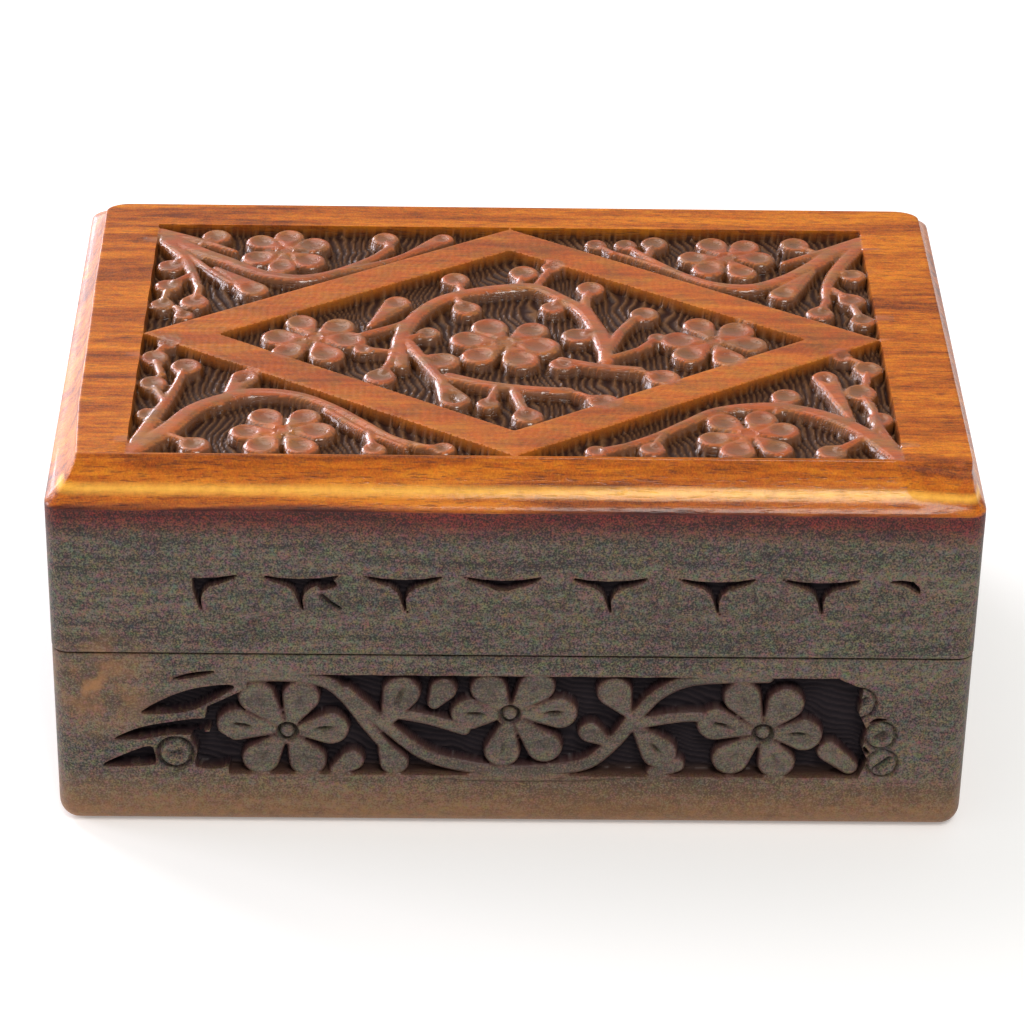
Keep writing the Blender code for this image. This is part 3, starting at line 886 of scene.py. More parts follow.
@dataclass
class Slab:
    """A closed board with one worked face: a grid, the loops round its sides and a flat back."""

    columns: np.ndarray
    rows: np.ndarray
    relief: Relief | None = None

    def face(self) -> tuple[np.ndarray, np.ndarray, np.ndarray]:
        """Lay the worked face, with its grid pulled on to the carving's edges.

        Returns:
            The places on the face, their heights and how far they lie outside the carving's edges.
        """
        across, up = np.meshgrid(self.columns, self.rows)
        places = np.stack([across.ravel(), up.ravel()], 1)
        if self.relief is None:
            return places, np.zeros(len(places)), np.full(len(places), -1.0)
        for level in (0.0, self.relief.wall):
            places = self.snap(places, level)
        return places, self.relief.heights(places), self.relief.edges(places)

    def scoops(self, places: np.ndarray) -> np.ndarray:
        """Return 1 in the middle of the petals' scoops and 0 outside them."""
        scooped = np.zeros(len(places))
        for shape in self.relief.shapes:
            if isinstance(shape, Lobe):
                near = shape.near(places, 0)
                scooped[near] = np.maximum(scooped[near], shape.bowl(places[near]))
        return scooped

    def motifs(self, places: np.ndarray) -> np.ndarray:
        """Return 1 on petals, buds and stems, less on the strap and 0 on the plain face."""
        on_motif = np.zeros(len(places))
        for shape in self.relief.shapes:
            if isinstance(shape, (Lobe, Stem, Boss, Strap)):
                near = shape.near(places, 0.5)
                value = np.clip(1 - shape.distance(places[near]) / 0.4, 0, 1)
                value *= 0.6 if isinstance(shape, Strap) else 1.0
                on_motif[near] = np.maximum(on_motif[near], value)
        return on_motif

    def snap(self, places: np.ndarray, level: float) -> np.ndarray:
        """Move the grid's nearest vertices on to one level of the carving's edge distance.

        Args:
            places: the grid's places.
            level: the distance to move them to.

        Returns:
            The moved places.
        """
        shape = (len(self.rows), len(self.columns))
        distance = self.relief.edges(places)
        small = 0.02
        slope_x = (self.relief.edges(places + (small, 0)) - distance) / small
        slope_y = (self.relief.edges(places + (0, small)) - distance) / small
        steep = slope_x ** 2 + slope_y ** 2
        step_x = np.gradient(self.columns)[None, :].repeat(shape[0], 0).ravel()
        step_y = np.gradient(self.rows)[:, None].repeat(shape[1], 1).ravel()
        step = np.minimum(step_x, step_y)
        gap = distance - level
        move = (np.abs(gap) < 0.5 * step) & (steep > 0.5) & (step < 0.6)
        inner = np.zeros(shape, bool)
        inner[2:-2, 2:-2] = True
        move &= inner.ravel()
        moved = places.copy()
        share = np.where(move, gap / np.maximum(steep, 0.5), 0)
        moved[:, 0] -= share * slope_x
        moved[:, 1] -= share * slope_y
        return moved

    def faces(self, loops: int) -> list[tuple[int, ...]]:
        """Join the grid, its side loops and its back.

        Args:
            loops: how many loops follow the grid's own edge.

        Returns:
            The faces, with the worked face's side outwards.
        """
        rows, columns = len(self.rows), len(self.columns)
        grid = np.arange(rows * columns).reshape(rows, columns)
        quads = np.stack([grid[:-1, :-1], grid[:-1, 1:], grid[1:, 1:], grid[1:, :-1]], -1)
        faces = [tuple(quad) for quad in quads.reshape(-1, 4).tolist()]
        upper = ring_of(rows, columns)
        count = len(upper)
        start = rows * columns
        for _ in range(loops):
            lower = np.arange(start, start + count)
            sides = np.stack([upper, lower, np.roll(lower, -1), np.roll(upper, -1)], -1)
            faces += [tuple(side) for side in sides.tolist()]
            upper = lower
            start += count
        faces += self.back(upper, rows, columns)
        return faces

    @staticmethod
    def back(loop: np.ndarray, rows: int, columns: int) -> list[tuple[int, ...]]:
        """Close the back with strips between its two long edges.

        Args:
            loop: the last loop's vertices.
            rows: how many rows the grid has.
            columns: how many columns it has.

        Returns:
            The back's faces.
        """
        bottom = loop[:columns]
        right = loop[columns - 1: columns + rows - 1]
        top = loop[columns + rows - 2: 2 * columns + rows - 2][::-1]
        left = np.append(loop[2 * columns + rows - 3:], loop[0])[::-1]
        faces = []
        for number in range(1, columns - 2):
            faces.append((bottom[number + 1], bottom[number], top[number], top[number + 1]))
        faces.append((bottom[1], *left, top[1]))
        faces.append((top[-2], *right[::-1], bottom[-2]))
        return [tuple(int(vertex) for vertex in face) for face in faces]


def rounded(
    points: np.ndarray,
    low: np.ndarray,
    high: np.ndarray,
    soft_low: np.ndarray | float,
    soft_high: np.ndarray | float,
) -> np.ndarray:
    """Round the corners of a box that points lie on.

    Args:
        points: points on the sharp box.
        low: the box's lowest corner.
        high: its highest corner.
        soft_low: the rounding's size along X, Y and Z on the low sides.
        soft_high: the same on the high sides.

    Returns:
        The points on the rounded box.
    """
    inner_low = np.array(low) + np.array(soft_low)
    inner_high = np.array(high) - np.array(soft_high)
    core = np.clip(points, inner_low, inner_high)
    offset = points - core
    size = np.where(offset < 0, np.array(soft_low), np.array(soft_high))
    share = offset / size
    length = np.sqrt((share ** 2).sum(1, keepdims=True))
    longest = np.abs(share).max(1, keepdims=True)
    outside = np.count_nonzero(np.abs(offset) > 1e-9, axis=1) > 1
    turned = core + share * longest / np.maximum(length, 1e-9) * size
    return np.where(outside[:, None], turned, points)


def softened_board(
    points: np.ndarray, low: np.ndarray, high: np.ndarray, corner: float, bottom: float, top: float
) -> np.ndarray:
    """Round a board's upright corners, and its bottom and top edges by other amounts.

    Args:
        points: points on the sharp board.
        low: its lowest corner; a side that stays sharp lies further out than the board.
        high: its highest corner, in the same way.
        corner: the upright corners' radius.
        bottom: the bottom edges' radius.
        top: the top edges' radius.

    Returns:
        The points on the softened board.
    """
    low, high = np.array(low), np.array(high)
    across = points[:, :2]
    plan = rounded(across, low[:2], high[:2], corner, corner)
    edge = np.where(points[:, 2:] < (low[2] + high[2]) / 2, bottom, top)
    moved = rounded(points, low, high, edge, edge)
    moved[:, :2] += plan - rounded(across, low[:2], high[:2], edge, edge)
    return moved


def new_piece(name: str, vertices: np.ndarray, faces: list[tuple[int, ...]]) -> bpy.types.Object:
    """Make an object from plain vertices and faces, in place.

    Args:
        name: the piece's name.
        vertices: its vertices, in metres.
        faces: its faces.

    Returns:
        The piece, at the origin.
    """
    mesh = bpy.data.meshes.new(name)
    mesh.from_pydata(vertices.tolist(), [], faces)
    mesh.update()
    return add_object(name, mesh)


def add_object(name: str, mesh: bpy.types.Mesh) -> bpy.types.Object:
    """Put a mesh in the scene as a new object."""
    piece = bpy.data.objects.new(name, mesh)
    bpy.context.scene.collection.objects.link(piece)
    return piece


def store(piece: bpy.types.Object, name: str, values: np.ndarray) -> None:
    """Keep a number for each vertex of a piece.

    Args:
        piece: the piece.
        name: the attribute's name.
        values: the numbers; vertices past their end get 0.
    """
    full = np.zeros(len(piece.data.vertices), np.float32)
    full[: len(values)] = values
    attribute = piece.data.attributes.new(name, "FLOAT", "POINT")
    attribute.data.foreach_set("value", full)


def settle(piece: bpy.types.Object) -> bpy.types.Object:
    """Turn a piece with modifiers into a plain mesh.

    Args:
        piece: the piece.

    Returns:
        The same piece, with no modifier left.
    """
    bpy.context.view_layer.update()
    graph = bpy.context.evaluated_depsgraph_get()
    evaluated = piece.evaluated_get(graph)
    mesh = bpy.data.meshes.new_from_object(evaluated, preserve_all_data_layers=True, depsgraph=graph)
    piece.modifiers.clear()
    old = piece.data
    piece.data = mesh
    mesh.name = piece.name
    bpy.data.meshes.remove(old)
    return piece


def dress(
    piece: bpy.types.Object,
    body: Body,
    nodes: tuple[str, ...],
    material: bpy.types.Material | None = None,
) -> bpy.types.Object:
    """Say what a finished piece rides on and stands for.

    Args:
        piece: the piece.
        body: the body it moves with.
        nodes: the solids that it stands for.
        material: its material, if it has none yet.

    Returns:
        The piece.
    """
    if material is not None:
        piece.data.materials.clear()
        piece.data.materials.append(material)
    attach(piece, body.value)
    if nodes:
        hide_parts(*nodes)
    LOG.info("%s: %d faces, on %s", piece.name, len(piece.data.polygons), body.value)
    return piece


# ---- Geometry node trees ----


class NodeShape:
    """A geometry node tree with named inputs, put on a piece as a modifier."""

    def __init__(self, name: str) -> None:
        """Start a tree with a geometry input and output."""
        self.tree = bpy.data.node_groups.new(name, "GeometryNodeTree")
        self.desk = NodeDesk(self.tree)
        self.sockets: dict[str, str] = {}
        for way in ("INPUT", "OUTPUT"):
            self.tree.interface.new_socket("Geometry", in_out=way, socket_type="NodeSocketGeometry")
        self.entry = self.tree.nodes.new("NodeGroupInput")

    def ask(self, name: str, default: Value | None = None, kind: str = "Float") -> Socket:
        """Add a named input.

        Args:
            name: the input's name.
            default: its default value.
            kind: its socket type.

        Returns:
            The input's socket inside the tree.
        """
        socket = self.tree.interface.new_socket(name, in_out="INPUT", socket_type=f"NodeSocket{kind}")
        if default is not None:
            socket.default_value = default
        self.sockets[name] = socket.identifier
        return self.entry.outputs[name]

    def close(self, geometry: Socket, part: Socket | None = None) -> None:
        """End the tree: realise what is instanced and set the material.

        Args:
            geometry: the socket that holds the shape.
            part: the faces that get the second material, or None.
        """
        real = self.desk.add("GeometryNodeRealizeInstances", Geometry=geometry).outputs[0]
        finish = self.ask("Material", kind="Material")
        done = self.desk.add("GeometryNodeSetMaterial", Geometry=real, Material=finish).outputs[0]
        if part is not None:
            second = self.ask("Second Material", kind="Material")
            done = self.desk.add(
                "GeometryNodeSetMaterial", Geometry=done, Selection=part, Material=second
            ).outputs[0]
        self.tree.links.new(done, self.tree.nodes.new("NodeGroupOutput").inputs[0])

    def put_on(self, piece: bpy.types.Object, **values: object) -> bpy.types.Object:
        """Put the tree on a piece and settle the result.

        Args:
            piece: the piece.
            values: the named inputs' values, with underscores for spaces.

        Returns:
            The piece as a plain mesh.
        """
        modifier = piece.modifiers.new(self.tree.name, "NODES")
        modifier.node_group = self.tree
        for name, value in values.items():
            if isinstance(value, tuple):
                value = [float(part) for part in value]
            modifier[self.sockets[name.replace("_", " ")]] = value
        return settle(piece)


def gouge_marks() -> NodeShape:
    """Build the tree that cuts rows of gouge marks into a carving's ground.

    Returns:
        The tree. Its inputs are the way out of the face, the way across the cuts, their pitch
        and depth, and a seed.
    """
    shape = NodeShape("gouge_marks")
    desk = shape.desk
    outwards = shape.ask("Outwards", (0.0, 0.0, 1.0), "Vector")
    across = shape.ask("Across", (1.0, 0.0, 0.0), "Vector")
    pitch = shape.ask("Pitch", 0.0014)
    depth = shape.ask("Depth", 0.0003)
    seed = shape.ask("Seed", 0.0)
    place = desk.add("GeometryNodeInputPosition").outputs[0]
    ground = desk.add("GeometryNodeInputNamedAttribute", {"data_type": "FLOAT"}, Name="ground").outputs[0]
    drift, chop = (
        desk.add(
            "ShaderNodeTexNoise", {"noise_dimensions": "4D"}, Vector=place, W=seed, Scale=scale, Detail=1.0
        ).outputs[0]
        for scale in (90.0, 420.0)
    )
    reach = desk.add("ShaderNodeVectorMath", {"operation": "DOT_PRODUCT"}, i0=place, i1=across)
    turns = desk.math("DIVIDE", reach.outputs["Value"], pitch)
    turns = desk.plus(desk.plus(turns, desk.times(drift, 7.0)), desk.times(chop, 0.9))
    cut = desk.math("ABSOLUTE", desk.math("SINE", desk.times(turns, pi)))
    sink = desk.times(desk.times(desk.times(cut, ground), depth), -1.0)
    offset = desk.add("ShaderNodeVectorMath", {"operation": "SCALE"}, i0=outwards, Scale=sink).outputs[0]
    ridge = desk.times(desk.math("POWER", desk.minus(1.0, cut), 1.5), ground)
    whole = shape.entry.outputs["Geometry"]
    moved = desk.add("GeometryNodeSetPosition", Geometry=whole, Offset=offset).outputs[0]
    marked = desk.add(
        "GeometryNodeStoreNamedAttribute", {"data_type": "FLOAT", "domain": "POINT"},
        Geometry=moved, Name="ridge", Value=ridge,
    ).outputs[0]
    more_than = {"data_type": "FLOAT", "operation": "GREATER_THAN"}
    shape.close(marked, desk.add("FunctionNodeCompare", more_than, i0=ground, i1=0.5).outputs[0])
    return shape


def fasteners() -> NodeShape:
    """Build the tree that puts a slotted screw at each point, aimed by the point's own direction.

    Returns:
        The tree. Its inputs are the head's and shank's sizes, the slot's sizes and a seed.
    """
    shape = NodeShape("fasteners")
    desk = shape.desk
    head_radius = shape.ask("Head Radius", 0.0013)
    head_height = shape.ask("Head Height", 0.0008)
    shank_radius = shape.ask("Shank Radius", 0.0006)
    under_radius = shape.ask("Under Radius", 0.0006)
    length = shape.ask("Length", 0.0075)
    slot_width = shape.ask("Slot Width", 0.0004)
    slot_depth = shape.ask("Slot Depth", 0.0004)
    seed = shape.ask("Seed", 1, "Int")

    def lifted(mesh: Socket, lift: Socket) -> Socket:
        """Move a mesh along Z."""
        move = desk.add("ShaderNodeCombineXYZ", Z=lift).outputs[0]
        return desk.add("GeometryNodeTransform", Geometry=mesh, Translation=move).outputs[0]

    head = desk.add(
        "GeometryNodeMeshCone", Vertices=32, Radius_Top=head_radius, Radius_Bottom=under_radius,
        Depth=head_height,
    ).outputs[0]
    head = lifted(head, desk.times(head_height, -1.0))
    slot = desk.add("ShaderNodeCombineXYZ", X=0.01, Y=slot_width, Z=desk.times(slot_depth, 2.0)).outputs[0]
    slot = desk.add("GeometryNodeMeshCube", Size=slot).outputs[0]
    head = desk.add("GeometryNodeMeshBoolean", {"operation": "DIFFERENCE"}, i0=head, i1=slot).outputs[0]
    shank = desk.add(
        "GeometryNodeMeshCone", Vertices=20, Radius_Top=shank_radius, Radius_Bottom=0.00012, Depth=length
    ).outputs[0]
    shank = lifted(shank, desk.times(desk.plus(length, desk.times(head_height, 0.9)), -1.0))
    whole = desk.add("GeometryNodeJoinGeometry", Geometry=head)
    desk.feed(whole, 0, shank)
    aim = desk.add("GeometryNodeInputNamedAttribute", {"data_type": "FLOAT_VECTOR"}, Name="aim").outputs[0]
    turn = desk.add("FunctionNodeAlignRotationToVector", {"axis": "Z"}, Vector=aim).outputs[0]
    spin = desk.add("FunctionNodeRandomValue", {"data_type": "FLOAT"}, Seed=seed, i2=0.0, i3=2 * pi)
    twist = desk.add("ShaderNodeCombineXYZ", Z=spin.outputs[1]).outputs[0]
    turn = desk.add("FunctionNodeRotateRotation", {"rotation_space": "LOCAL"}, Rotation=turn, i1=twist)
    spread = desk.add(
        "GeometryNodeInstanceOnPoints", Points=shape.entry.outputs["Geometry"],
        Instance=whole.outputs[0], Rotation=turn.outputs[0],
    ).outputs[0]
    shape.close(spread)
    return shape


# ---- The carvings ----


def even_petals(turn: float, reach: float, count: int = 6) -> tuple[Point, ...]:
    """Return the angles and reaches of evenly spread petals."""
    return tuple((turn + 360.0 / count * number, reach) for number in range(count))


def buds(*rows: tuple[float, ...]) -> list[Lobe | Stem]:
    """Turn rows of head, stalk's end and radius into round buds on stalks."""
    shapes = []
    for row in rows:
        head, end, radius = np.array(row[:2]), np.array(row[2:4]), 1.08 * row[4]
        length = np.hypot(*(end - head))
        foot = head + (end - head) * min(0.62 * radius / length, 1.0)
        shapes.append(Lobe(tuple(head), tuple(foot), radius, 0.62 * radius, 0.45))
        shapes.append(Stem((tuple(end), tuple((head + end) / 2), tuple(foot)), 0.85, 0.9))
    return shapes


def leaves(*rows: tuple[float, ...]) -> list[Lobe]:
    """Turn rows of head, foot, radius, scoop and slit into tapering leaves."""
    return [
        Lobe((row[0], row[1]), (row[2], row[3]), row[4], 0.7, *(row[5:] or (0.45,))) for row in rows
    ]


def top_carving(depth: float) -> Relief:
    """Lay out the lid's top: a diamond strap, with flowers inside it and in the four corners.

    Args:
        depth: how deep the ground is sunk, in millimetres.

    Returns:
        The relief.
    """
    shapes = [
        Border((-63.0, -45.25), (62.5, 36.8)),
        Strap((-0.25, -4.3), (62.75, 40.8), 7.0),
    ]
    flowers = [
        Flower((-40.0, 27.6), even_petals(25, 5.8), 2.8),
        Flower((38.0, 26.6), even_petals(-5, 5.8), 2.8),
        Flower((-38.0, -37.0), even_petals(0, 5.9), 2.85),
        Flower((38.0, -36.8), even_petals(12, 5.9), 2.85),
        Flower((-34.0, -5.0), even_petals(-8, 6.2), 2.95),
        Flower((34.0, -5.0), even_petals(-10, 6.3), 3.0),
        Flower((-1.5, -6.0), even_petals(-10, 6.5), 3.15, 1.9),
    ]
    for flower in flowers:
        shapes += flower.shapes()
    corner_stems = [
        Stem(((-62.5, 33.5), (-55, 27), (-50, 23.5), (-44, 19), (-38, 17.3), (-33, 18.5), (-28, 22),
              (-24, 26), (-21.5, 30)), 1.7, 0.8),
        Stem(((-30, 20), (-22, 24), (-16, 29)), 0.9, 0.8),
        Stem(((-62.5, 34.5), (-55, 31), (-49, 27.5)), 1.5, 0.6),
        Stem(((-61.5, 31), (-58, 25), (-56, 19), (-54.5, 13)), 1.4, 0.7),
        Stem(((-58, 27), (-53, 20), (-49, 15)), 0.9, 0.6),
        Stem(((62.5, 33.5), (57, 29), (53, 24), (48, 19), (42, 15.5), (36, 16), (31, 19), (26, 24),
              (22, 29)), 1.7, 0.8),
        Stem(((29, 20.5), (23, 25), (17, 29)), 0.8, 0.6),
        Stem(((62, 33.5), (54, 28.5), (48, 25)), 1.5, 0.6),
        Stem(((61.5, 31), (57, 22), (55, 16), (54.5, 10)), 1.4, 0.7),
        Stem(((-62.5, -44), (-57, -37), (-53, -30), (-48, -26), (-43, -24), (-36, -25), (-30, -29),
              (-25, -34), (-20, -39), (-14, -42)), 1.8, 0.8),
        Stem(((-61.5, -41), (-59, -32), (-57, -25), (-55.5, -18)), 1.4, 0.7),
        Stem(((-31, -30), (-25, -36.5), (-18, -42)), 0.8, 0.6),
        Stem(((62, -44), (57, -36), (52, -31), (46, -28), (40, -27.3), (33, -29), (28, -33),
              (22, -38), (14, -43)), 1.8, 0.8),
        Stem(((61.5, -42), (59.5, -34), (59, -26)), 1.3, 0.7),
    ]
    inner_stems = [
        Stem(((-19, -14), (-19.5, -6), (-18, 0), (-16, 5), (-12, 10), (-6, 13), (0, 14.5), (4, 14.5),
              (8, 11), (12, 6), (14, 0), (15.5, -8)), 1.3, 1.38),
        Stem(((-26, -3.5), (-20, 0), (-17, 3)), 0.78, 0.88),
        Stem(((-19, 0), (-20, -8), (-21, -14)), 1.04, 0.88),
        Stem(((-18, -6), (-15, -13), (-12, -20)), 1.17, 1.0),
        Stem(((-11, -18), (-5, -20.5), (2, -22), (9, -22.5)), 1.3, 1.0),
        Stem(((0, -23), (1, -28)), 1.04, 0.88),
        Stem(((15.5, -12), (15.5, -4), (14, 2), (12.5, 8), (13, 12)), 1.3, 0.88),
        Stem(((16, -8), (18, -2), (20.5, 3)), 1.04, 0.88),
        Stem(((8, -12), (14, -14), (21, -15)), 1.17, 1.0),
        Stem(((16, -11), (23, -6.5)), 0.78, 0.62),
    ]
    for stem in corner_stems + inner_stems:
        shapes.append(replace(stem, start_width=1.12 * stem.start_width, end_width=1.12 * stem.end_width))
    shapes += buds(
        (-22.5, 33, -21.5, 29, 2.3), (-52.5, 33.3, -55, 30, 2.5), (-55, 8, -54.5, 14, 2.5),
        (-60, 21.5, -57.5, 25, 2.3), (-60, 14, -56.5, 18, 2.3), (-60.5, 7, -60, 12, 2.1),
        (-56.5, 3.2, -58, 6, 1.7),
        (25.5, 32.3, 24, 27, 2.3), (20.3, 31.5, 23, 27.5, 2.0), (15, 31.5, 18, 28, 1.9),
        (50.5, 32.3, 54, 29, 2.5), (60, 20.5, 57, 22, 2.2), (59, 11, 56, 15, 2.3),
        (60.2, 3.5, 59, 9, 2.1), (53, 6, 54.5, 11, 2.3),
        (-11.8, -42, -16, -41.5, 1.9), (-55, -15, -56, -20, 2.5),
        (-60.2, -21, -58, -27, 2.3), (-60.5, -12, -59, -18, 2.3), (-52, -41.5, -57, -38, 2.4),
        (-23, -42.6, -24, -37, 2.0), (-60.3, -31.5, -58.5, -34, 1.9), (-58.5, -7, -60, -10, 1.8),
        (59.5, -13.8, 58.5, -20, 2.4), (57.5, -22, 59, -28, 2.6), (60, -31, 58.5, -36, 2.1),
        (22, -41.8, 24, -37, 2.1), (51, -42.3, 56, -38, 2.4), (13, -42.6, 17, -41, 1.9),
        (55.5, -9.5, 58.5, -12, 1.8),
        (-10, 17.5, -8.5, 12, 2.4), (-8, 6.5, -10, 11, 2.5), (-14.5, -2.5, -18, -4.5, 2.0),
        (-12, -12.5, -16.5, -10.5, 2.8), (6.8, 7.2, 8.5, 11, 2.1), (2, 20.3, 1, 14.5, 2.5),
        (7, 22.6, 4, 15, 1.8), (10.8, -3, 14.5, -1, 2.6), (-22.5, -18.2, -21, -13, 2.6),
        (14.8, -26.2, 8, -22, 2.6), (2, -31.2, 1, -27, 2.5), (13.6, 14.6, 12.8, 11, 2.4),
        (22.7, 5.2, 20, 2, 2.4), (25, -17.6, 20, -15, 2.7), (8, -13.2, 13, -13.5, 2.1),
        (24.5, -3.4, 21, -8, 1.6), (-25.5, -8.5, -20.5, -9.5, 1.7), (-4.5, -27, -3, -21.5, 1.9),
    )
    shapes += leaves(
        (-12.2, 33.2, -20, 25.5, 2.0), (-45, 13, -52, 21, 2.7), (47, 13, 53, 22, 2.5),
        (-45, -18.6, -48.5, -28, 2.5, 0.5, 0.7), (45, -23.6, 43, -29, 2.6),
        (52, -17, 55.5, -33, 2.3, 0.4, 0.8), (-20, 8.5, -24.5, 0, 2.5),
        (-10, -25.7, -13, -18, 2.7, 0.6, 0.8),
    )
    return Relief(depth, 0.40, shapes, (-63.0, -45.6), (62.5, 36.8))


def front_carving(depth: float) -> Relief:
    """Lay out the base's front: three flowers joined by a running stem.

    Args:
        depth: how deep the ground is sunk, in millimetres.

    Returns:
        The relief.
    """
    shapes: list[Shape] = [Border((-68.0, 10.5), (66.0, 30.4))]
    shapes.append(
        Land(((-69, 9), (-47, 9), (-47.5, 14), (-49.5, 17), (-51, 21.5), (-50.5, 24), (-44, 27.5),
              (-44, 31.5), (-69, 31.5)))
    )
    shapes.append(
        Land(((67, 9), (67, 31.5), (52, 31.5), (54.5, 30), (58, 28.4), (57.5, 23.5), (59, 20.5),
              (58.5, 16.5), (59.5, 14), (57.5, 9)))
    )
    blooms = [
        ((-37.3, 18.9), ((-42.3, 25.4), (-35, 25.6), (-30.2, 19.4), (-34, 12.9), (-41.8, 13.3),
                         (-45.9, 20)), 3.1),
        ((-0.4, 22.6), ((-4, 27.4), (4, 28), (7.8, 22.8), (5.4, 16), (-1.6, 15), (-7.2, 22.4)), 3.0),
        ((41.8, 19.2), ((38, 26.2), (45.3, 24.9), (48.6, 18.8), (44.3, 13.2), (36.6, 13.9),
                        (33.8, 20.8)), 3.1),
    ]
    for centre, heads, radius in blooms:
        for number, head in enumerate(heads):
            middle = np.array(centre)
            foot = middle + 0.32 * (np.array(head) - middle)
            shapes.append(Lobe(head, tuple(foot), radius, 1.2, 0.35, 1.0 * (number in (2, 5)), -0.12))
        shapes.append(Boss(centre, 2.2, -0.1))
    shapes += [
        Stem(((-62, 22.5), (-56, 26.2), (-50, 28.6), (-40, 29.9), (-32, 29), (-28, 26), (-24, 20),
              (-20.5, 15)), 1.6, 1.0),
        Stem(((-27.5, 26.5), (-20.5, 19.5), (-14, 14), (-6, 11.6), (0, 11), (8, 11.6), (13, 13),
              (17, 17), (20, 21.5)), 1.2, 1.3),
        Stem(((-20, 22.5), (-14, 21.3), (-8, 19.3)), 1.0, 1.1),
        Stem(((19, 20), (21.5, 23.5), (24, 26.5), (28, 29), (33, 29.9), (42, 30.2)), 1.2, 1.2),
        Stem(((19.5, 20.5), (27, 22), (32.5, 22.2)), 1.2, 0.9),
        Stem(((19.8, 21), (19, 24)), 0.9, 0.8),
    ]
    shapes += [
        Lobe((-19.6, 12.6), (-21.5, 16.5), 2.4, 0.9, 0.5, 0.0, -0.12),
        Lobe((-18.4, 26.6), (-20.5, 21.5), 3.1, 1.3, 0.4, 1.0, -0.12),
        Lobe((-11.5, 27.2), (-13, 24.5), 2.2, 1.1, 0.5, 0.0, -0.12),
        Lobe((16.8, 27), (19, 23), 2.9, 0.9, 0.5, 0.0, -0.12),
        Lobe((24.6, 15), (21, 19.5), 3.0, 1.0, 0.35, 1.0, -0.12),
        Lobe((13, 19), (16, 17), 2.0, 0.9, 0.5, 0.0, -0.12),
        Lobe((27.5, 12.6), (24, 11), 1.5, 1.4, 0.2, 0.0, -0.12),
        Lobe((-26.6, 13), (-29, 11), 2.0, 1.4, 0.3, 0.0, -0.12),
        Lobe((53, 15.5), (56.5, 12.5), 2.0, 1.5, 0.4, 0.0, -0.12),
    ]
    outlines = (
        ((-61.5, 22.6), (-58, 25.2), (-53, 27.4), (-47.5, 28.3), (-46, 27.6), (-49.5, 25.2),
         (-53.5, 23), (-58, 22.4)),
        ((-66, 17.4), (-62, 19.6), (-56.5, 20.9), (-50.5, 21.6), (-50, 19.8), (-52.5, 18.4),
         (-57, 18.2), (-61.5, 17.4)),
        ((-68.3, 12), (-64, 14.6), (-60.2, 16), (-59.4, 14.2), (-59.6, 12.4), (-63, 11.9)),
        ((-56.5, 29.2), (-53, 30.6), (-48.5, 31), (-52, 29.7)),
        ((-52.6, 12.0), (-48.5, 11.6), (-46.0, 13.5), (-46.4, 17.0), (-49.5, 18.9), (-53.4, 18.2),
         (-52.4, 15.2)),
        ((59.2, 21.4), (60.4, 22.6), (62.5, 22.4), (61.2, 21.8)),
        ((58.6, 17), (59.3, 16.4), (59.8, 15.6), (58.9, 15.4)),
    )
    pockets = [Land(outline, curved=True) for outline in outlines]
    grooves = [
        Groove(((-12, 9.6), (-4, 9.2), (4, 9.2), (12, 9.4), (18, 9.8)), 0.4, 0.35),
        ring((-56, 14.5), 2.9, 0.6, 1.0),
        ring((57.4, 25.4), 2.9, 0.45, 0.7),
        ring((61.4, 19), 2.6, 0.45, 0.7),
        ring((62, 13.4), 2.6, 0.45, 0.7),
        Groove(((-56.8, 14.3), (-55.2, 14.8)), 0.6, 0.7),
        Groove(((56, 24.3), (58.6, 26.3)), 0.6, 0.9),
        Groove(((61, 18.6), (61.9, 19.3)), 1.0, 0.9),
        Groove(((60.8, 12.4), (63.1, 14.5)), 0.6, 0.9),
    ]
    for centre, heads, radius in blooms:
        grooves.append(ring(centre, 1.5, 0.55, 0.9))
        for head in heads:
            outwards = np.array(head) - np.array(centre)
            outwards /= np.hypot(*outwards)
            inner = np.array(head) - 1.5 * outwards
            grooves.append(Groove((tuple(inner), tuple(np.array(head) - 0.1 * outwards)), 0.4, 0.35))
    return Relief(depth, 0.42, shapes, (-68, 9), (66, 31), grooves, pockets)


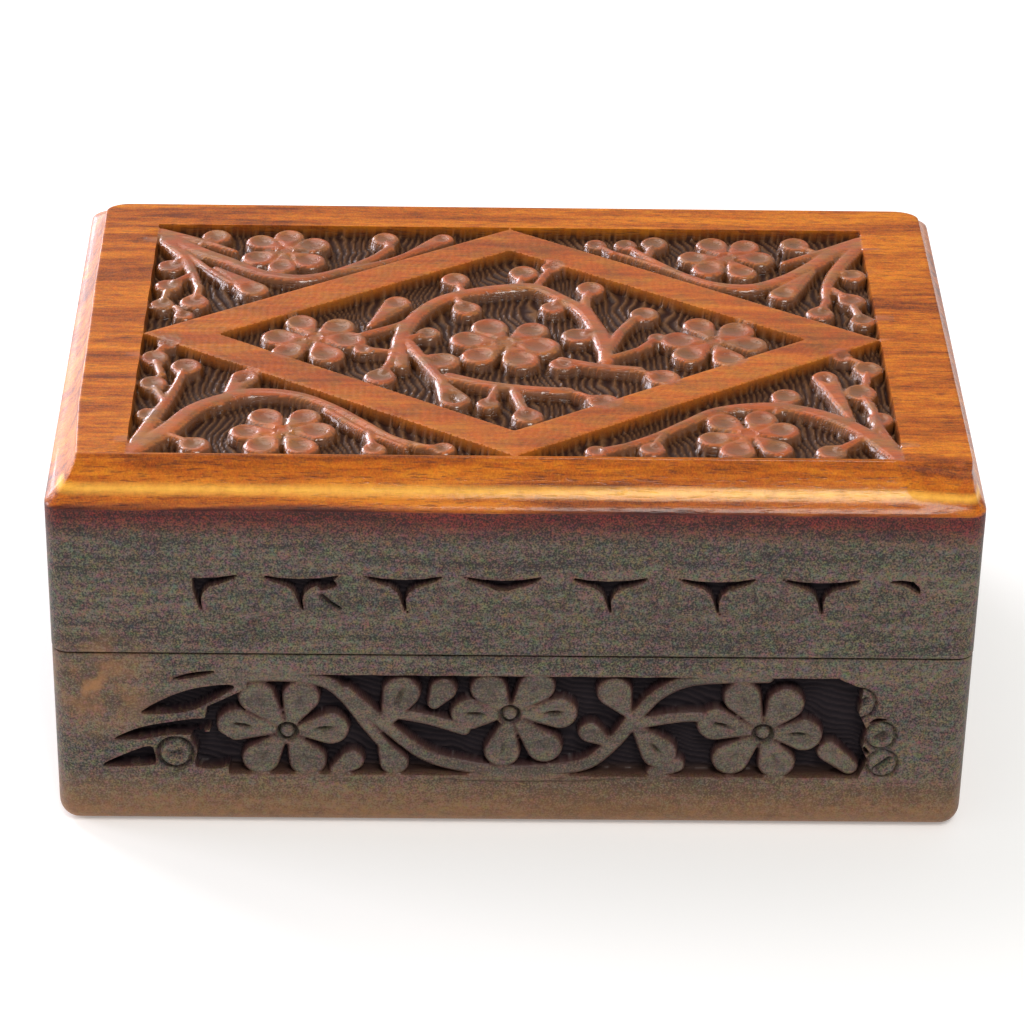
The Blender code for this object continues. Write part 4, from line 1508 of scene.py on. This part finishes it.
def lid_carving(depth: float) -> Relief:
    """Lay out the lid's front: sunk wedges between a row of half flowers.

    Args:
        depth: how deep the wedges are sunk, in millimetres.

    Returns:
        The relief.
    """
    wedge = ((-6.6, 49.7), (-3.3, 49.1), (0.0, 48.9), (3.3, 49.1), (6.6, 49.7), (5.6, 48.6), (3.9, 47.9),
             (2.0, 47.3), (0.9, 46.3), (0.5, 45.0), (0.6, 43.6), (0.9, 42.2), (0.0, 43.5), (-0.4, 45.0),
             (-1.0, 46.6), (-2.1, 47.5), (-3.7, 48.1), (-5.3, 48.7))
    short = tuple((x, max(z, 46.9)) for x, z in wedge)
    half = tuple((max(x, -0.9), z) for x, z in wedge)
    places = ((-51.5, half), (-35.0, wedge), (-18.2, wedge), (-2.0, short), (15.2, wedge),
              (32.8, wedge), (49.8, wedge))
    pockets = [Land(tuple((x + place, z) for x, z in outline)) for place, outline in places]
    pockets.append(Land(((60.4, 49.3), (62.8, 49.6), (64.8, 49.3), (65.9, 48.2), (66.1, 46.9), (65.2, 47.3),
                         (63.8, 48.3), (62.0, 48.8))))
    pockets.append(Land(((-32.6, 48.6), (-29.6, 48.9), (-28.9, 47.4), (-31.5, 46.6))))
    grooves = []
    for x in (-43.0, -26.7, -10.1, 6.7, 24.0, 41.2, 57.3):
        grooves += [
            Groove(((x - 2.6, 48.6), (x - 2.0, 45.6), (x - 0.4, 43.4)), 0.5, 0.3),
            Groove(((x + 2.6, 48.6), (x + 2.1, 45.6), (x + 0.5, 43.4)), 0.5, 0.3),
            Groove(((x - 7.4, 44.2), (x - 5.4, 42.2), (x - 3.0, 41.9), (x - 0.9, 42.7)), 0.5, 0.24),
            Groove(((x + 7.4, 44.2), (x + 5.4, 42.2), (x + 3.0, 41.9), (x + 0.9, 42.7)), 0.5, 0.24),
            Groove(((x - 4.4, 39.2), (x - 3.2, 37.9), (x - 1.2, 38.1), (x - 0.4, 39.4)), 0.4, 0.22),
            Groove(((x + 4.4, 39.2), (x + 3.2, 37.9), (x + 1.2, 38.1), (x + 0.4, 39.4)), 0.4, 0.22),
        ]
    grooves.append(Groove(((-31.4, 45.6), (-30.0, 44.2), (-28.6, 43.2)), 0.5, 1.1))
    grooves += [Groove(((x - 1.0, 40.3), (x, 40.9), (x + 1.0, 40.3)), 0.8, 0.35) for x in (-42.4, 57.0)]
    shapes = [Land(((-80, 30), (80, 30), (80, 60), (-80, 60)))]
    return Relief(depth, 0.36, shapes, (-58, 37), (68, 50), grooves, pockets)


# ---- Carved and plain boards ----


@dataclass(frozen=True)
class Facing:
    """Where a board's worked face lies: its zero point and the ways right, up and out."""

    right: Triple
    up: Triple
    out: Triple
    level: float

    def place(self, points: np.ndarray) -> np.ndarray:
        """Turn face places and heights, in millimetres, into points in metres."""
        axes = np.array([self.right, self.up, self.out])
        return points @ axes * MM + np.array(self.out) * self.level


Shaper = Callable[[np.ndarray, np.ndarray], np.ndarray]
FRONT = Facing((1, 0, 0), (0, 0, 1), (0, -1, 0), 0.0)
TOP = Facing((1, 0, 0), (0, 1, 0), (0, 0, 1), 0.0)


def carved_piece(
    name: str, slab: Slab, facing: Facing, profile: list[Point], shape_corner: Shaper
) -> bpy.types.Object:
    """Build a board with a worked face and give it the carving's masks.

    Args:
        name: the piece's name.
        slab: the grid and its relief.
        facing: where the face lies.
        profile: how far each side loop grows and drops, in millimetres.
        shape_corner: rounds the board, given its points in metres and each point's growth.

    Returns:
        The piece.
    """
    places, heights, outside = slab.face()
    rows, columns = len(slab.rows), len(slab.columns)
    edge = places[ring_of(rows, columns)]
    middle = (edge.max(0) + edge.min(0)) / 2
    half = (edge.max(0) - edge.min(0)) / 2
    points = [np.column_stack([places, heights])]
    growths = [np.zeros(len(places))]
    for growth, drop in profile:
        loop = middle + (edge - middle) * (half + growth) / half
        points.append(np.column_stack([loop, np.full(len(loop), -drop)]))
        growths.append(np.full(len(loop), growth))
    solid = facing.place(np.vstack(points))
    solid = shape_corner(solid, np.concatenate(growths))
    piece = new_piece(name, solid, slab.faces(len(profile)))
    if slab.relief is not None:
        inside = slab.relief.field_mask(places)
        depth = slab.relief.depth
        scored = 0.5 * slab.relief.scored(places) ** 2
        # Partly stain, partly painted shade: the sunk ground, the walls at the motifs' outlines and the
        # grooves are darkened.
        outline = np.clip((outside + 0.14) / 0.14, 0, 1)
        sunk = np.clip((-heights - 0.25) / (0.3 * depth), 0, 1) * outline
        store(piece, "recess", np.clip(np.maximum(sunk, scored), 0, 1) * inside)
        store(piece, "scooped", slab.scoops(places) * inside)
        store(piece, "ground", np.clip((-heights - 0.9 * depth) / (0.1 * depth), 0, 1) * inside)
        store(piece, "arris", np.clip(1 - np.abs(outside + 0.12) / 0.4, 0, 1) * inside)
        store(piece, "carved", slab.motifs(places) * inside)
    return piece


def plain_board(
    name: str, low: Vector, high: Vector, facing: Facing, radii: Triple, sharp: Vector
) -> bpy.types.Object:
    """Build an uncarved board with rounded edges.

    Args:
        name: the piece's name.
        low: its lowest corner.
        high: its highest corner.
        facing: which way its outer face looks; its level is that face's place.
        radii: the upright corners', the bottom edges' and the top edges' radius, in metres.
        sharp: along each axis, -1 or 1 where only the low or high side stays sharp, 2 for both.

    Returns:
        The board.
    """
    right, up, out = (np.array(axis, float) for axis in (facing.right, facing.up, facing.out))
    corners = np.array([low, high])
    across = np.sort(corners @ right) / MM
    upward = np.sort(corners @ up) / MM
    deep = abs((corners[1] - corners[0]) @ out) / MM
    slab = Slab(
        graded(across[0], across[0] + 12, across[1] - 12, across[1], 3.0),
        graded(upward[0], upward[0] + 9, upward[1] - 9, upward[1], 3.0),
    )
    drops = [0.1, 0.35, 0.8, 1.4, 2.2, 3.1, 4.2]
    profile = [(0.0, drop) for drop in drops if drop < deep - 0.4]
    profile += [(0.0, deep - 0.15), (-0.15, deep)]
    far_low, far_high = np.array(low), np.array(high)
    for axis in range(3):
        far_low[axis] -= sharp[axis] in (-1, 2)
        far_high[axis] += sharp[axis] in (1, 2)

    def soften(points: np.ndarray, growth: np.ndarray) -> np.ndarray:
        """Round the board's edges."""
        return softened_board(points, far_low, far_high, *radii)

    return carved_piece(name, slab, facing, profile, soften)


def softened(
    node: str, name: str, low: Vector | None = None, high: Vector | None = None,
    width: float = 0.00025, corner: float = 0.0, foot: bool = False,
) -> bpy.types.Object:
    """Copy a frame part, fit it to a box and take its sharp edges off.

    Args:
        node: the part's name.
        name: the new piece's name.
        low: the lowest corner to stretch it to, or None to keep its own.
        high: the highest corner to stretch it to, or None to keep its own.
        width: how wide its edges are softened.
        corner: the radius of its outer back corners, or 0 to leave them sharp.
        foot: whether its outer bottom edges are rounded as well.

    Returns:
        The piece.
    """
    own_low, own_high = (Vector(end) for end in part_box(node))
    low = own_low if low is None else Vector(low)
    high = own_high if high is None else Vector(high)
    work = bmesh.new()
    work.from_mesh(bpy.data.objects[node].data)
    bmesh.ops.remove_doubles(work, verts=work.verts, dist=1e-6)
    for vertex in work.verts:
        for axis in range(3):
            if abs(vertex.co[axis] - own_low[axis]) < 1e-6:
                vertex.co[axis] = low[axis]
            elif abs(vertex.co[axis] - own_high[axis]) < 1e-6:
                vertex.co[axis] = high[axis]
    if corner:
        bmesh.ops.dissolve_limit(work, angle_limit=radians(1), verts=work.verts, edges=work.edges)
        for inset in corner * np.array(ROUNDING_STEPS):
            cuts = [((high.x - inset, 0, 0), (1, 0, 0)), ((low.x + inset, 0, 0), (1, 0, 0)),
                    ((0, high.y - inset, 0), (0, 1, 0))]
            if foot:
                cuts.append(((0, 0, low.z + inset), (0, 0, 1)))
            for spot, normal in cuts:
                whole = work.verts[:] + work.edges[:] + work.faces[:]
                bmesh.ops.bisect_plane(work, geom=whole, dist=1e-7, plane_co=spot, plane_no=normal)
        points = np.array([vertex.co[:] for vertex in work.verts])
        bottom = corner if foot else SHARP
        moved = softened_board(points, low - Vector((0, 1, 0)), high, corner, bottom, SHARP)
        for vertex, place in zip(work.verts, moved):
            vertex.co = place
    mesh = bpy.data.meshes.new(name)
    work.to_mesh(mesh)
    work.free()
    piece = add_object(name, mesh)
    bevel = piece.modifiers.new("soft_edges", "BEVEL")
    bevel.width = width
    bevel.segments = 2
    bevel.limit_method = "ANGLE"
    bevel.angle_limit = radians(40)
    return settle(piece)


@dataclass
class Lid:
    """The lid: a thick carved top with a hollow moulded edge, on a frame of four boards."""

    carving_depth: float = 1.9
    frieze_depth: float = 1.5
    grid: float = 0.36
    frieze_grid: float = 0.27
    cove_inset: float = 5.3
    cove_drop: float = 7.0
    cove_sag: float = 0.9
    back_drop: float = 0.60
    corner_radius: float = 3.0
    back_foot_radius: float = 3.6
    front_arris_radius: float = 0.6
    back_arris_radius: float = 3.4
    mark_pitch: float = 0.00125
    mark_depth: float = 0.00042
    seam_round: float = 0.00025
    field_low: Point = (-63.1, -45.3)
    field_high: Point = (62.6, 36.9)
    right_edge: float = 73.5
    back_edge: float = 44.9

    def build(self) -> dict[str, bpy.types.Object]:
        """Build the lid's wooden pieces.

        Returns:
            The pieces, by the frame part that each stands for.
        """
        return {
            "lid_top": self.top(),
            "lid_front": self.front(),
            "lid_left": self.side("lid_left", -1),
            "lid_right": self.side("lid_right", 1),
            "lid_back": self.back(),
        }

    def top(self) -> bpy.types.Object:
        """Build the carved top with its hollow edge."""
        low, high = (np.array(corner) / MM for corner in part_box("lid_top"))
        foot = high[:2]
        half = foot - self.cove_inset
        slab = Slab(
            graded(-half[0], self.field_low[0], self.field_high[0], half[0], self.grid),
            graded(-half[1], self.field_low[1], self.field_high[1], half[1], self.grid),
            top_carving(self.carving_depth),
        )
        profile = [(0.10, 0.06), (0.24, 0.22)]
        for share in np.linspace(0, 1, 13)[1:]:
            hollow = self.cove_sag * 4 * share * (1 - share)
            spread = self.cove_inset * share - 0.55 * hollow
            profile.append((max(spread, 0.3), self.cove_drop * share + 0.75 * hollow))
        thick = high[2] - low[2]
        profile[-1] = (self.cove_inset - 0.35, self.cove_drop - 0.10)
        profile += [(self.cove_inset - 0.1, self.cove_drop + 0.12), (self.cove_inset, self.cove_drop + 0.5)]
        profile.append((self.cove_inset, thick))

        def shape(points: np.ndarray, growth: np.ndarray) -> np.ndarray:
            """Bring the hollow from the arris out to the lid's sides."""
            growth = growth[:, None]
            plan = points[:, :2] / MM * half / (half + growth)
            back = plan[:, 1:] > 0
            arris_soft = np.where(back, self.back_arris_radius, self.front_arris_radius)
            foot_soft = np.where(back, self.back_foot_radius, self.corner_radius)
            arris = self.worn_arris(rounded(plan, -half, half, arris_soft, arris_soft), half)
            outer = rounded(plan * foot / half, -foot, foot, foot_soft, foot_soft)
            share = growth / self.cove_inset
            plan = arris + (outer - arris) * share
            drop = high[2] * MM - points[:, 2]
            shallow = np.interp(plan[:, 1], (-46, 46), (1.0, self.back_drop))
            in_cove = (growth[:, 0] > 0) & (drop < (self.cove_drop + 1) * MM)
            drop = np.where(in_cove, drop * shallow, drop)
            return np.column_stack([plan * MM, high[2] * MM - drop])

        facing = replace(TOP, level=high[2] * MM)
        piece = carved_piece("carved_top", slab, facing, profile, shape)
        gouge_marks().put_on(
            piece, Outwards=(0, 0, 1), Across=(1, 0.12, 0), Pitch=self.mark_pitch,
            Depth=self.mark_depth, Seed=3.0, Material=TOP_WOOD.make(),
            Second_Material=TOP_GROUND.make(),
        )
        heights = np.zeros(3 * len(piece.data.vertices))
        piece.data.vertices.foreach_get("co", heights)
        refinish(piece, heights[2::3] < low[2] * MM + 0.0001, SHADED_SIDE_WOOD)
        on_motif = np.zeros(len(piece.data.vertices))
        piece.data.attributes["carved"].data.foreach_get("value", on_motif)
        refinish(piece, (on_motif > 0.8) & (heights[2::3] > high[2] * MM - 0.0018), MOTIF_WOOD)
        return piece

    def worn_arris(self, plan: np.ndarray, half: np.ndarray) -> np.ndarray:
        """Move the flat top's edge to where hand work and wear left it.

        Args:
            plan: places on the even flat top, in millimetres.
            half: its half width and depth.

        Returns:
            The moved places.
        """
        across, along = plan.T
        left_edge = np.interp(along, (-46, -29, -3, 14, 40), (70.7, 71.7, 72.1, 72.5, 72.7))
        after = np.clip((plan - self.field_high) / (half - self.field_high), 0, 1)
        before = np.clip((self.field_low - plan) / (half + self.field_low), 0, 1)
        left = before[:, 0] * (left_edge - half[0])
        right = after[:, 0] * (self.right_edge - half[0])
        back = after[:, 1] * (self.back_edge - half[1])
        front = before[:, 1] * np.interp(across, (61, 66, 70.7), (0, 1.4, 2.6))
        return np.column_stack([across - left + right, along + back - front])

    def front(self) -> bpy.types.Object:
        """Build the front board with its row of sunk wedges."""
        low, high = (Vector(corner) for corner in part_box("lid_front"))
        high.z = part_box("lid_top")[0].z
        slab = Slab(
            graded(low.x / MM, -58, 68, high.x / MM, self.frieze_grid),
            graded(low.z / MM, 36.5, 50, high.z / MM, self.frieze_grid),
            lid_carving(self.frieze_depth),
        )
        radii = (self.corner_radius * MM, self.seam_round, SHARP)
        return front_board("lid_front_board", "lid_front", slab, low, high, radii, SHADED_SIDE_WOOD)

    def side(self, node: str, sign: int) -> bpy.types.Object:
        """Build a side board; the sign is -1 on the left and 1 on the right."""
        low, high = (Vector(corner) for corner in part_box(node))
        high.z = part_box("lid_top")[0].z
        return side_board(f"{node}_board", low, high, sign, self.seam_round, SHARP)

    def back(self) -> bpy.types.Object:
        """Build the back board."""
        low, high = (Vector(corner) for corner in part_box("lid_back"))
        high.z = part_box("lid_top")[0].z
        return softened("lid_back", "lid_back_board", low, high, corner=self.corner_radius * MM)


def refinish(piece: bpy.types.Object, chosen: np.ndarray, wood: WoodFinish) -> None:
    """Give the faces round some of a piece's vertices another finish.

    Args:
        piece: the piece.
        chosen: for each vertex, whether its faces change.
        wood: the finish that they get.
    """
    mesh = piece.data
    mesh.materials.append(wood.make())
    for face in mesh.polygons:
        if any(chosen[vertex] for vertex in face.vertices):
            face.material_index = len(mesh.materials) - 1


def side_board(
    name: str, low: Vector, high: Vector, sign: int, soft_bottom: float, soft_top: float
) -> bpy.types.Object:
    """Build a left or right board that meets the lips of the front and back boards.

    Args:
        name: the piece's name.
        low: the frame part's lowest corner.
        high: its highest corner.
        sign: -1 on the left and 1 on the right.
        soft_bottom: how far its outer bottom edge is rounded.
        soft_top: how far its outer top edge is rounded.

    Returns:
        The board.
    """
    lip = 0.04599
    low, high = Vector((low.x, -lip, low.z)), Vector((high.x, lip, high.z))
    facing = Facing((0, sign, 0), (0, 0, 1), (sign, 0, 0), 0.0)
    facing = replace(facing, level=max(abs(low.x), abs(high.x)))
    return plain_board(name, low, high, facing, (0.0001, soft_bottom, soft_top), Vector((-sign, 2, 0)))


def front_board(
    name: str, node: str, slab: Slab, low: Vector, high: Vector, radii: Triple,
    wood: WoodFinish,
) -> bpy.types.Object:
    """Build a carved front board: a wide lip with the carving, and the tongue behind it.

    Args:
        name: the piece's name.
        node: the frame part that it stands for.
        slab: the carved face's grid and relief.
        low: the board's lowest corner.
        high: its highest corner.
        radii: the upright corners', the bottom edges' and the top edges' radius, in metres.
        wood: its finish.

    Returns:
        The board.
    """
    lip = 0.005
    back = low.y + lip
    facing = replace(FRONT, level=-low.y)
    drops = [0.1, 0.35, 0.8, 1.4, 2.1, 2.9, 3.8, 4.6]
    profile = [(0.0, drop) for drop in drops] + [(0.0, lip / MM - 0.1), (-0.1, lip / MM)]

    def shape(points: np.ndarray, growth: np.ndarray) -> np.ndarray:
        """Round the lip's edges."""
        return softened_board(points, low, high + Vector((0, 1, 0)), *radii)

    piece = carved_piece(name, slab, facing, profile, shape)
    piece = gouge_marks().put_on(
        piece, Outwards=(0, -1, 0), Across=(0.25, 0, 1), Pitch=0.0011, Depth=0.00025, Seed=8.0,
        Material=wood.make(), Second_Material=SHADED_SIDE_GROUND.make(),
    )
    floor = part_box("base_bottom")[1].z + 0.0003 if node.startswith("base") else low.z
    tongue_low = Vector((-0.0662, back - 0.0002, floor))
    tongue_high = Vector((0.0662, high.y, high.z - 0.00002))
    tongue = plain_board(
        f"{name}_tongue", tongue_low, tongue_high, replace(FRONT, level=-tongue_low.y),
        (0.0002, 0.0002, 0.0002), Vector((0, 0, 0)),
    )
    tongue.data.materials.append(wood.make())
    return joined(piece, tongue)


def joined(piece: bpy.types.Object, other: bpy.types.Object) -> bpy.types.Object:
    """Add another object's mesh to a piece and remove the other.

    Args:
        piece: the piece that is kept.
        other: the object that is used up.

    Returns:
        The piece.
    """
    work = bmesh.new()
    work.from_mesh(piece.data)
    work.from_mesh(other.data)
    work.to_mesh(piece.data)
    work.free()
    bpy.data.objects.remove(other)
    return piece


@dataclass
class Base:
    """The base: a carved front, two sides and a back round a let-in bottom board."""

    frieze_depth: float = 2.3
    frieze_grid: float = 0.25
    corner_radius: float = 0.0035
    foot_round: float = 0.0035
    seam_round: float = 0.00025

    def build(self) -> dict[str, bpy.types.Object]:
        """Build the base's wooden pieces.

        Returns:
            The pieces, by the frame part that each stands for.
        """
        return {
            "base_front": self.front(),
            "base_left": self.side("base_left", -1),
            "base_right": self.side("base_right", 1),
            "base_back": softened("base_back", "base_back_board", corner=self.corner_radius, foot=True),
            "base_bottom": softened("base_bottom", "base_bottom_board"),
        }

    def front(self) -> bpy.types.Object:
        """Build the front board with its carved frieze."""
        low, high = (Vector(corner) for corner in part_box("base_front"))
        slab = Slab(
            graded(low.x / MM, -69, 67, high.x / MM, self.frieze_grid),
            graded(low.z / MM, 8.5, 31.2, high.z / MM, self.frieze_grid),
            front_carving(self.frieze_depth),
        )
        radii = (self.corner_radius, self.foot_round, self.seam_round)
        return front_board("base_front_board", "base_front", slab, low, high, radii, SHADED_SIDE_WOOD)

    def side(self, node: str, sign: int) -> bpy.types.Object:
        """Build a side board; the sign is -1 on the left and 1 on the right."""
        low, high = (Vector(corner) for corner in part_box(node))
        return side_board(f"{node}_board", low, high, sign, self.foot_round, self.seam_round)


@dataclass
class Hinges:
    """Two brass butt hinges with steel pins and slotted brass screws."""

    sides: tuple[str, str] = ("left", "right")
    head_height: float = 0.0007
    slot_width: float = 0.00042
    slot_depth: float = 0.00035

    def screws(self, body: Body) -> bpy.types.Object:
        """Build the screws that hold to one body, as one piece."""
        word = body.value
        sign = 1 if body is Body.BASE else -1
        places = []
        sizes = []
        for side in self.sides:
            for letter in "ab":
                low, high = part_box(f"hinge_{side}_{word}_screw_{letter}")
                top = high.z if sign > 0 else low.z
                places.append(((low.x + high.x) / 2, (low.y + high.y) / 2, top))
                sizes.append((high.x - low.x, high.z - low.z))
        piece = new_piece(f"hinge_screws_{word}", np.array(places), [])
        aim = piece.data.attributes.new("aim", "FLOAT_VECTOR", "POINT")
        aim.data.foreach_set("vector", [0.0, 0.0, float(sign)] * len(places))
        width, length = sizes[0]
        shank = width / 4
        return fasteners().put_on(
            piece, Head_Radius=width / 2, Head_Height=self.head_height, Shank_Radius=shank,
            Under_Radius=shank * 1.05, Length=length - self.head_height,
            Slot_Width=self.slot_width, Slot_Depth=self.slot_depth, Seed=5 if sign > 0 else 9,
            Material=BRASS.make(),
        )

    def dress(self) -> None:
        """Build and dress the screws, and dress the leaves and pins."""
        brass = BRASS.make()
        steel = STEEL.make()
        for side in self.sides:
            for word, body in (("base_leaf", Body.BASE), ("lid_leaf", Body.LID)):
                node = f"hinge_{side}_{word}"
                piece = softened(node, f"{node}_plate", width=0.00008)
                dress(piece, body, (node,), brass)
            paint(f"hinge_{side}_pin", steel)
        for body in Body:
            nodes = tuple(
                f"hinge_{side}_{body.value}_screw_{letter}" for side in self.sides for letter in "ab"
            )
            dress(self.screws(body), body, nodes)


def paint(node: str, material: bpy.types.Material) -> None:
    """Give a frame part that stays in view its material.

    Args:
        node: the part's name.
        material: its material.
    """
    part = bpy.data.objects[node]
    part.data.materials.clear()
    part.data.materials.append(material)
    LOG.info("%s: kept from the frame", node)


@dataclass
class Lining:
    """The velvet lining: thin padded walls, and a crowned pad in the floor and the ceiling."""

    wall_sides: tuple[str, ...] = ("front", "back", "left", "right")
    roll: float = 1.7
    grid: float = 1.1
    crown: float = 0.45

    def pad(self, node: str, name: str, facing: Facing) -> bpy.types.Object:
        """Build a pad that is flat below, crowned above and rolled in at its edges.

        Args:
            node: the frame part whose room it fills.
            name: the piece's name.
            facing: which way its crown looks.

        Returns:
            The pad.
        """
        low, high = (np.array(corner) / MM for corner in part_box(node))
        right, up, out = (np.array(axis, float) for axis in (facing.right, facing.up, facing.out))
        corners = np.array([low, high])
        across, upward = np.sort(corners @ right), np.sort(corners @ up)
        thick = abs((high - low) @ out)
        columns = graded(across[0], across[0] + 2, across[1] - 2, across[1], self.grid)
        rows = graded(upward[0], upward[0] + 2, upward[1] - 2, upward[1], self.grid)
        slab = Slab(columns, rows)
        places, _, _ = slab.face()
        edge = np.minimum(
            np.minimum(places[:, 0] - across[0], across[1] - places[:, 0]),
            np.minimum(places[:, 1] - upward[0], upward[1] - places[:, 1]),
        )
        roll = min(self.roll, 0.9 * thick)
        near = np.clip(1 - edge / (2.2 * roll), 0, 1)
        drop = roll * (1 - np.sqrt(1 - near ** 2))
        ripple = np.sin(places[:, 0] * 0.21 + 1.3 * np.sin(places[:, 1] * 0.13))
        ripple = ripple * np.sin(places[:, 1] * 0.27 + 0.9 * np.sin(places[:, 0] * 0.11))
        pucker = np.sin(places.sum(1) * 1.1) * np.sin((places[:, 0] - places[:, 1]) * 0.9)
        sink = self.crown * np.exp(-edge / 7) * 0.7 + 0.10 * (1 - ripple) + 0.06 * near * (1 - pucker)
        heights = -np.minimum(drop + sink * np.clip(thick / 2, 0.3, 1), thick - 0.15)
        around = places[ring_of(len(rows), len(columns))]
        points = np.vstack([
            np.column_stack([places, heights]),
            np.column_stack([around, np.full(len(around), -thick)]),
        ])
        piece = new_piece(name, facing.place(points), slab.faces(1))
        smooth(piece)
        return piece

    def dress(self) -> None:
        """Build and dress the whole lining."""
        velvet = VELVET.make()
        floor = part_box("base_floor_pad")[1].z
        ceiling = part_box("lid_ceiling_pad")[0].z
        downwards = Facing((-1, 0, 0), (0, 1, 0), (0, 0, -1), -ceiling)
        pads = (
            ("base_floor_pad", "floor_pad", replace(TOP, level=floor), Body.BASE),
            ("lid_ceiling_pad", "ceiling_pad", downwards, Body.LID),
        )
        for node, name, facing, body in pads:
            piece = self.pad(node, name, facing)
            dress(piece, body, (node,), velvet)
        for body in Body:
            for side in self.wall_sides:
                node = f"{body.value}_lining_{side}"
                piece = self.pad(node, f"{body.value}_wall_pad_{side}", self.wall_facing(node, side))
                dress(piece, body, (node,), velvet)

    @staticmethod
    def wall_facing(node: str, side: str) -> Facing:
        """Return the way that a wall's lining looks: into the box."""
        low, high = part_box(node)
        if side == "front":
            return Facing((-1, 0, 0), (0, 0, 1), (0, 1, 0), high.y)
        if side == "back":
            return Facing((1, 0, 0), (0, 0, 1), (0, -1, 0), -low.y)
        if side == "left":
            return Facing((0, 1, 0), (0, 0, 1), (1, 0, 0), high.x)
        return Facing((0, -1, 0), (0, 0, 1), (-1, 0, 0), -low.x)


def smooth(piece: bpy.types.Object, angle: float = 40.0) -> None:
    """Shade a piece smooth, apart from edges sharper than an angle in degrees."""
    piece.data.shade_smooth()
    piece.data.set_sharp_from_angle(angle=radians(angle))


@dataclass
class Studio:
    """The pale floor, the camera and the lights."""

    place: Triple = (-0.01182, -0.58299, 0.37779)
    yaw: float = 0.0210
    pitch: float = 0.5359
    roll: float = 0.0195
    lens: float = 135.37
    sensor: float = 36.0

    def camera(self) -> None:
        """Stand the camera in front of the box and above it."""
        data = bpy.data.cameras.new("front_camera")
        data.lens = self.lens
        data.sensor_width = self.sensor
        data.sensor_fit = "HORIZONTAL"
        data.clip_start = 0.01
        camera = bpy.data.objects.new("front_camera", data)
        bpy.context.scene.collection.objects.link(camera)
        forward = Vector((
            sin(self.yaw) * cos(self.pitch), cos(self.yaw) * cos(self.pitch), -sin(self.pitch)
        ))
        right = Vector((cos(self.yaw), -sin(self.yaw), 0.0))
        up = right.cross(forward)
        turned = cos(self.roll) * right + sin(self.roll) * up
        upright = -sin(self.roll) * right + cos(self.roll) * up
        matrix = Matrix((turned, upright, -forward)).transposed().to_4x4()
        matrix.translation = Vector(self.place)
        camera.matrix_world = matrix
        bpy.context.scene.camera = camera

    def lights(self) -> None:
        """Light the top from behind and the left, with a pale world all round."""
        world = bpy.data.worlds.new("pale_room")
        bpy.context.scene.world = world
        world.use_nodes = True
        world.node_tree.nodes["Background"].inputs[0].default_value = (1.0, 1.0, 1.0, 1.0)
        world.node_tree.nodes["Background"].inputs[1].default_value = 0.38
        self.lamp("key", (-0.45, 0.70, 1.05), 0.9, 4.0, (1.0, 0.97, 0.92))
        self.lamp("back_window", (-0.85, 1.35, 0.36), 0.62, 13.0, (0.95, 0.90, 1.0))
        self.lamp("left_window", (-1.45, 0.30, 0.36), 0.55, 12.0, (0.96, 0.91, 1.0))
        self.lamp("side", (-0.95, 0.75, 0.85), 0.28, 3.5, (0.97, 0.95, 1.0))
        self.lamp("overhead", (0.25, -0.74, 1.12), 0.45, 8.8, (1.0, 0.97, 0.92))
        bpy.context.scene.view_settings.view_transform = "Standard"

    @staticmethod
    def lamp(name: str, place: Triple, size: float, power: float, colour: Triple) -> None:
        """Hang a square soft light that faces the box.

        Args:
            name: the light's name.
            place: where it hangs.
            size: its side.
            power: its power.
            colour: its colour.
        """
        data = bpy.data.lights.new(name, "AREA")
        data.size = size
        data.energy = power
        data.color = colour
        lamp = bpy.data.objects.new(name, data)
        lamp.location = place
        lamp.rotation_euler = (Vector((0, 0, 0.03)) - Vector(place)).to_track_quat("-Z", "Y").to_euler()
        bpy.context.scene.collection.objects.link(lamp)

    def floor(self) -> None:
        """Lay the pale floor."""
        reach = 6.0
        corners = np.array([(-reach, -reach, 0), (reach, -reach, 0), (reach, reach, 0), (-reach, reach, 0)])
        floor = new_piece("floor", corners, [(0, 1, 2, 3)])
        material = bpy.data.materials.new("pale_floor")
        material.use_nodes = True
        shader = material.node_tree.nodes["Principled BSDF"]
        shader.inputs["Base Color"].default_value = (0.91, 0.91, 0.91, 1.0)
        shader.inputs["Roughness"].default_value = 0.6
        shader.inputs["Emission Color"].default_value = (1.0, 1.0, 1.0, 1.0)
        shader.inputs["Emission Strength"].default_value = 0.24
        floor.data.materials.append(material)


def main() -> None:
    """Load the frame, build every piece, dress it and set the studio."""
    logging.basicConfig(level=logging.INFO, format="%(name)s: %(message)s")
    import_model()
    for builder, body in ((Lid(), Body.LID), (Base(), Body.BASE)):
        for node, piece in builder.build().items():
            top = node == "lid_top"
            carved = top or node.endswith("front")
            smooth(piece, 50.0)
            wood = (SHADED_END_WOOD if node.endswith(("left", "right")) else SHADED_SIDE_WOOD).make()
            dress(piece, body, (node,), None if carved else wood)
    Hinges().dress()
    Lining().dress()
    steel = STEEL.make()
    for node in sorted(part.name for part in bpy.data.objects if "_pin_" in part.name):
        paint(node, steel)
    studio = Studio()
    studio.floor()
    studio.lights()
    studio.camera()


if __name__ == "__main__":
    main()
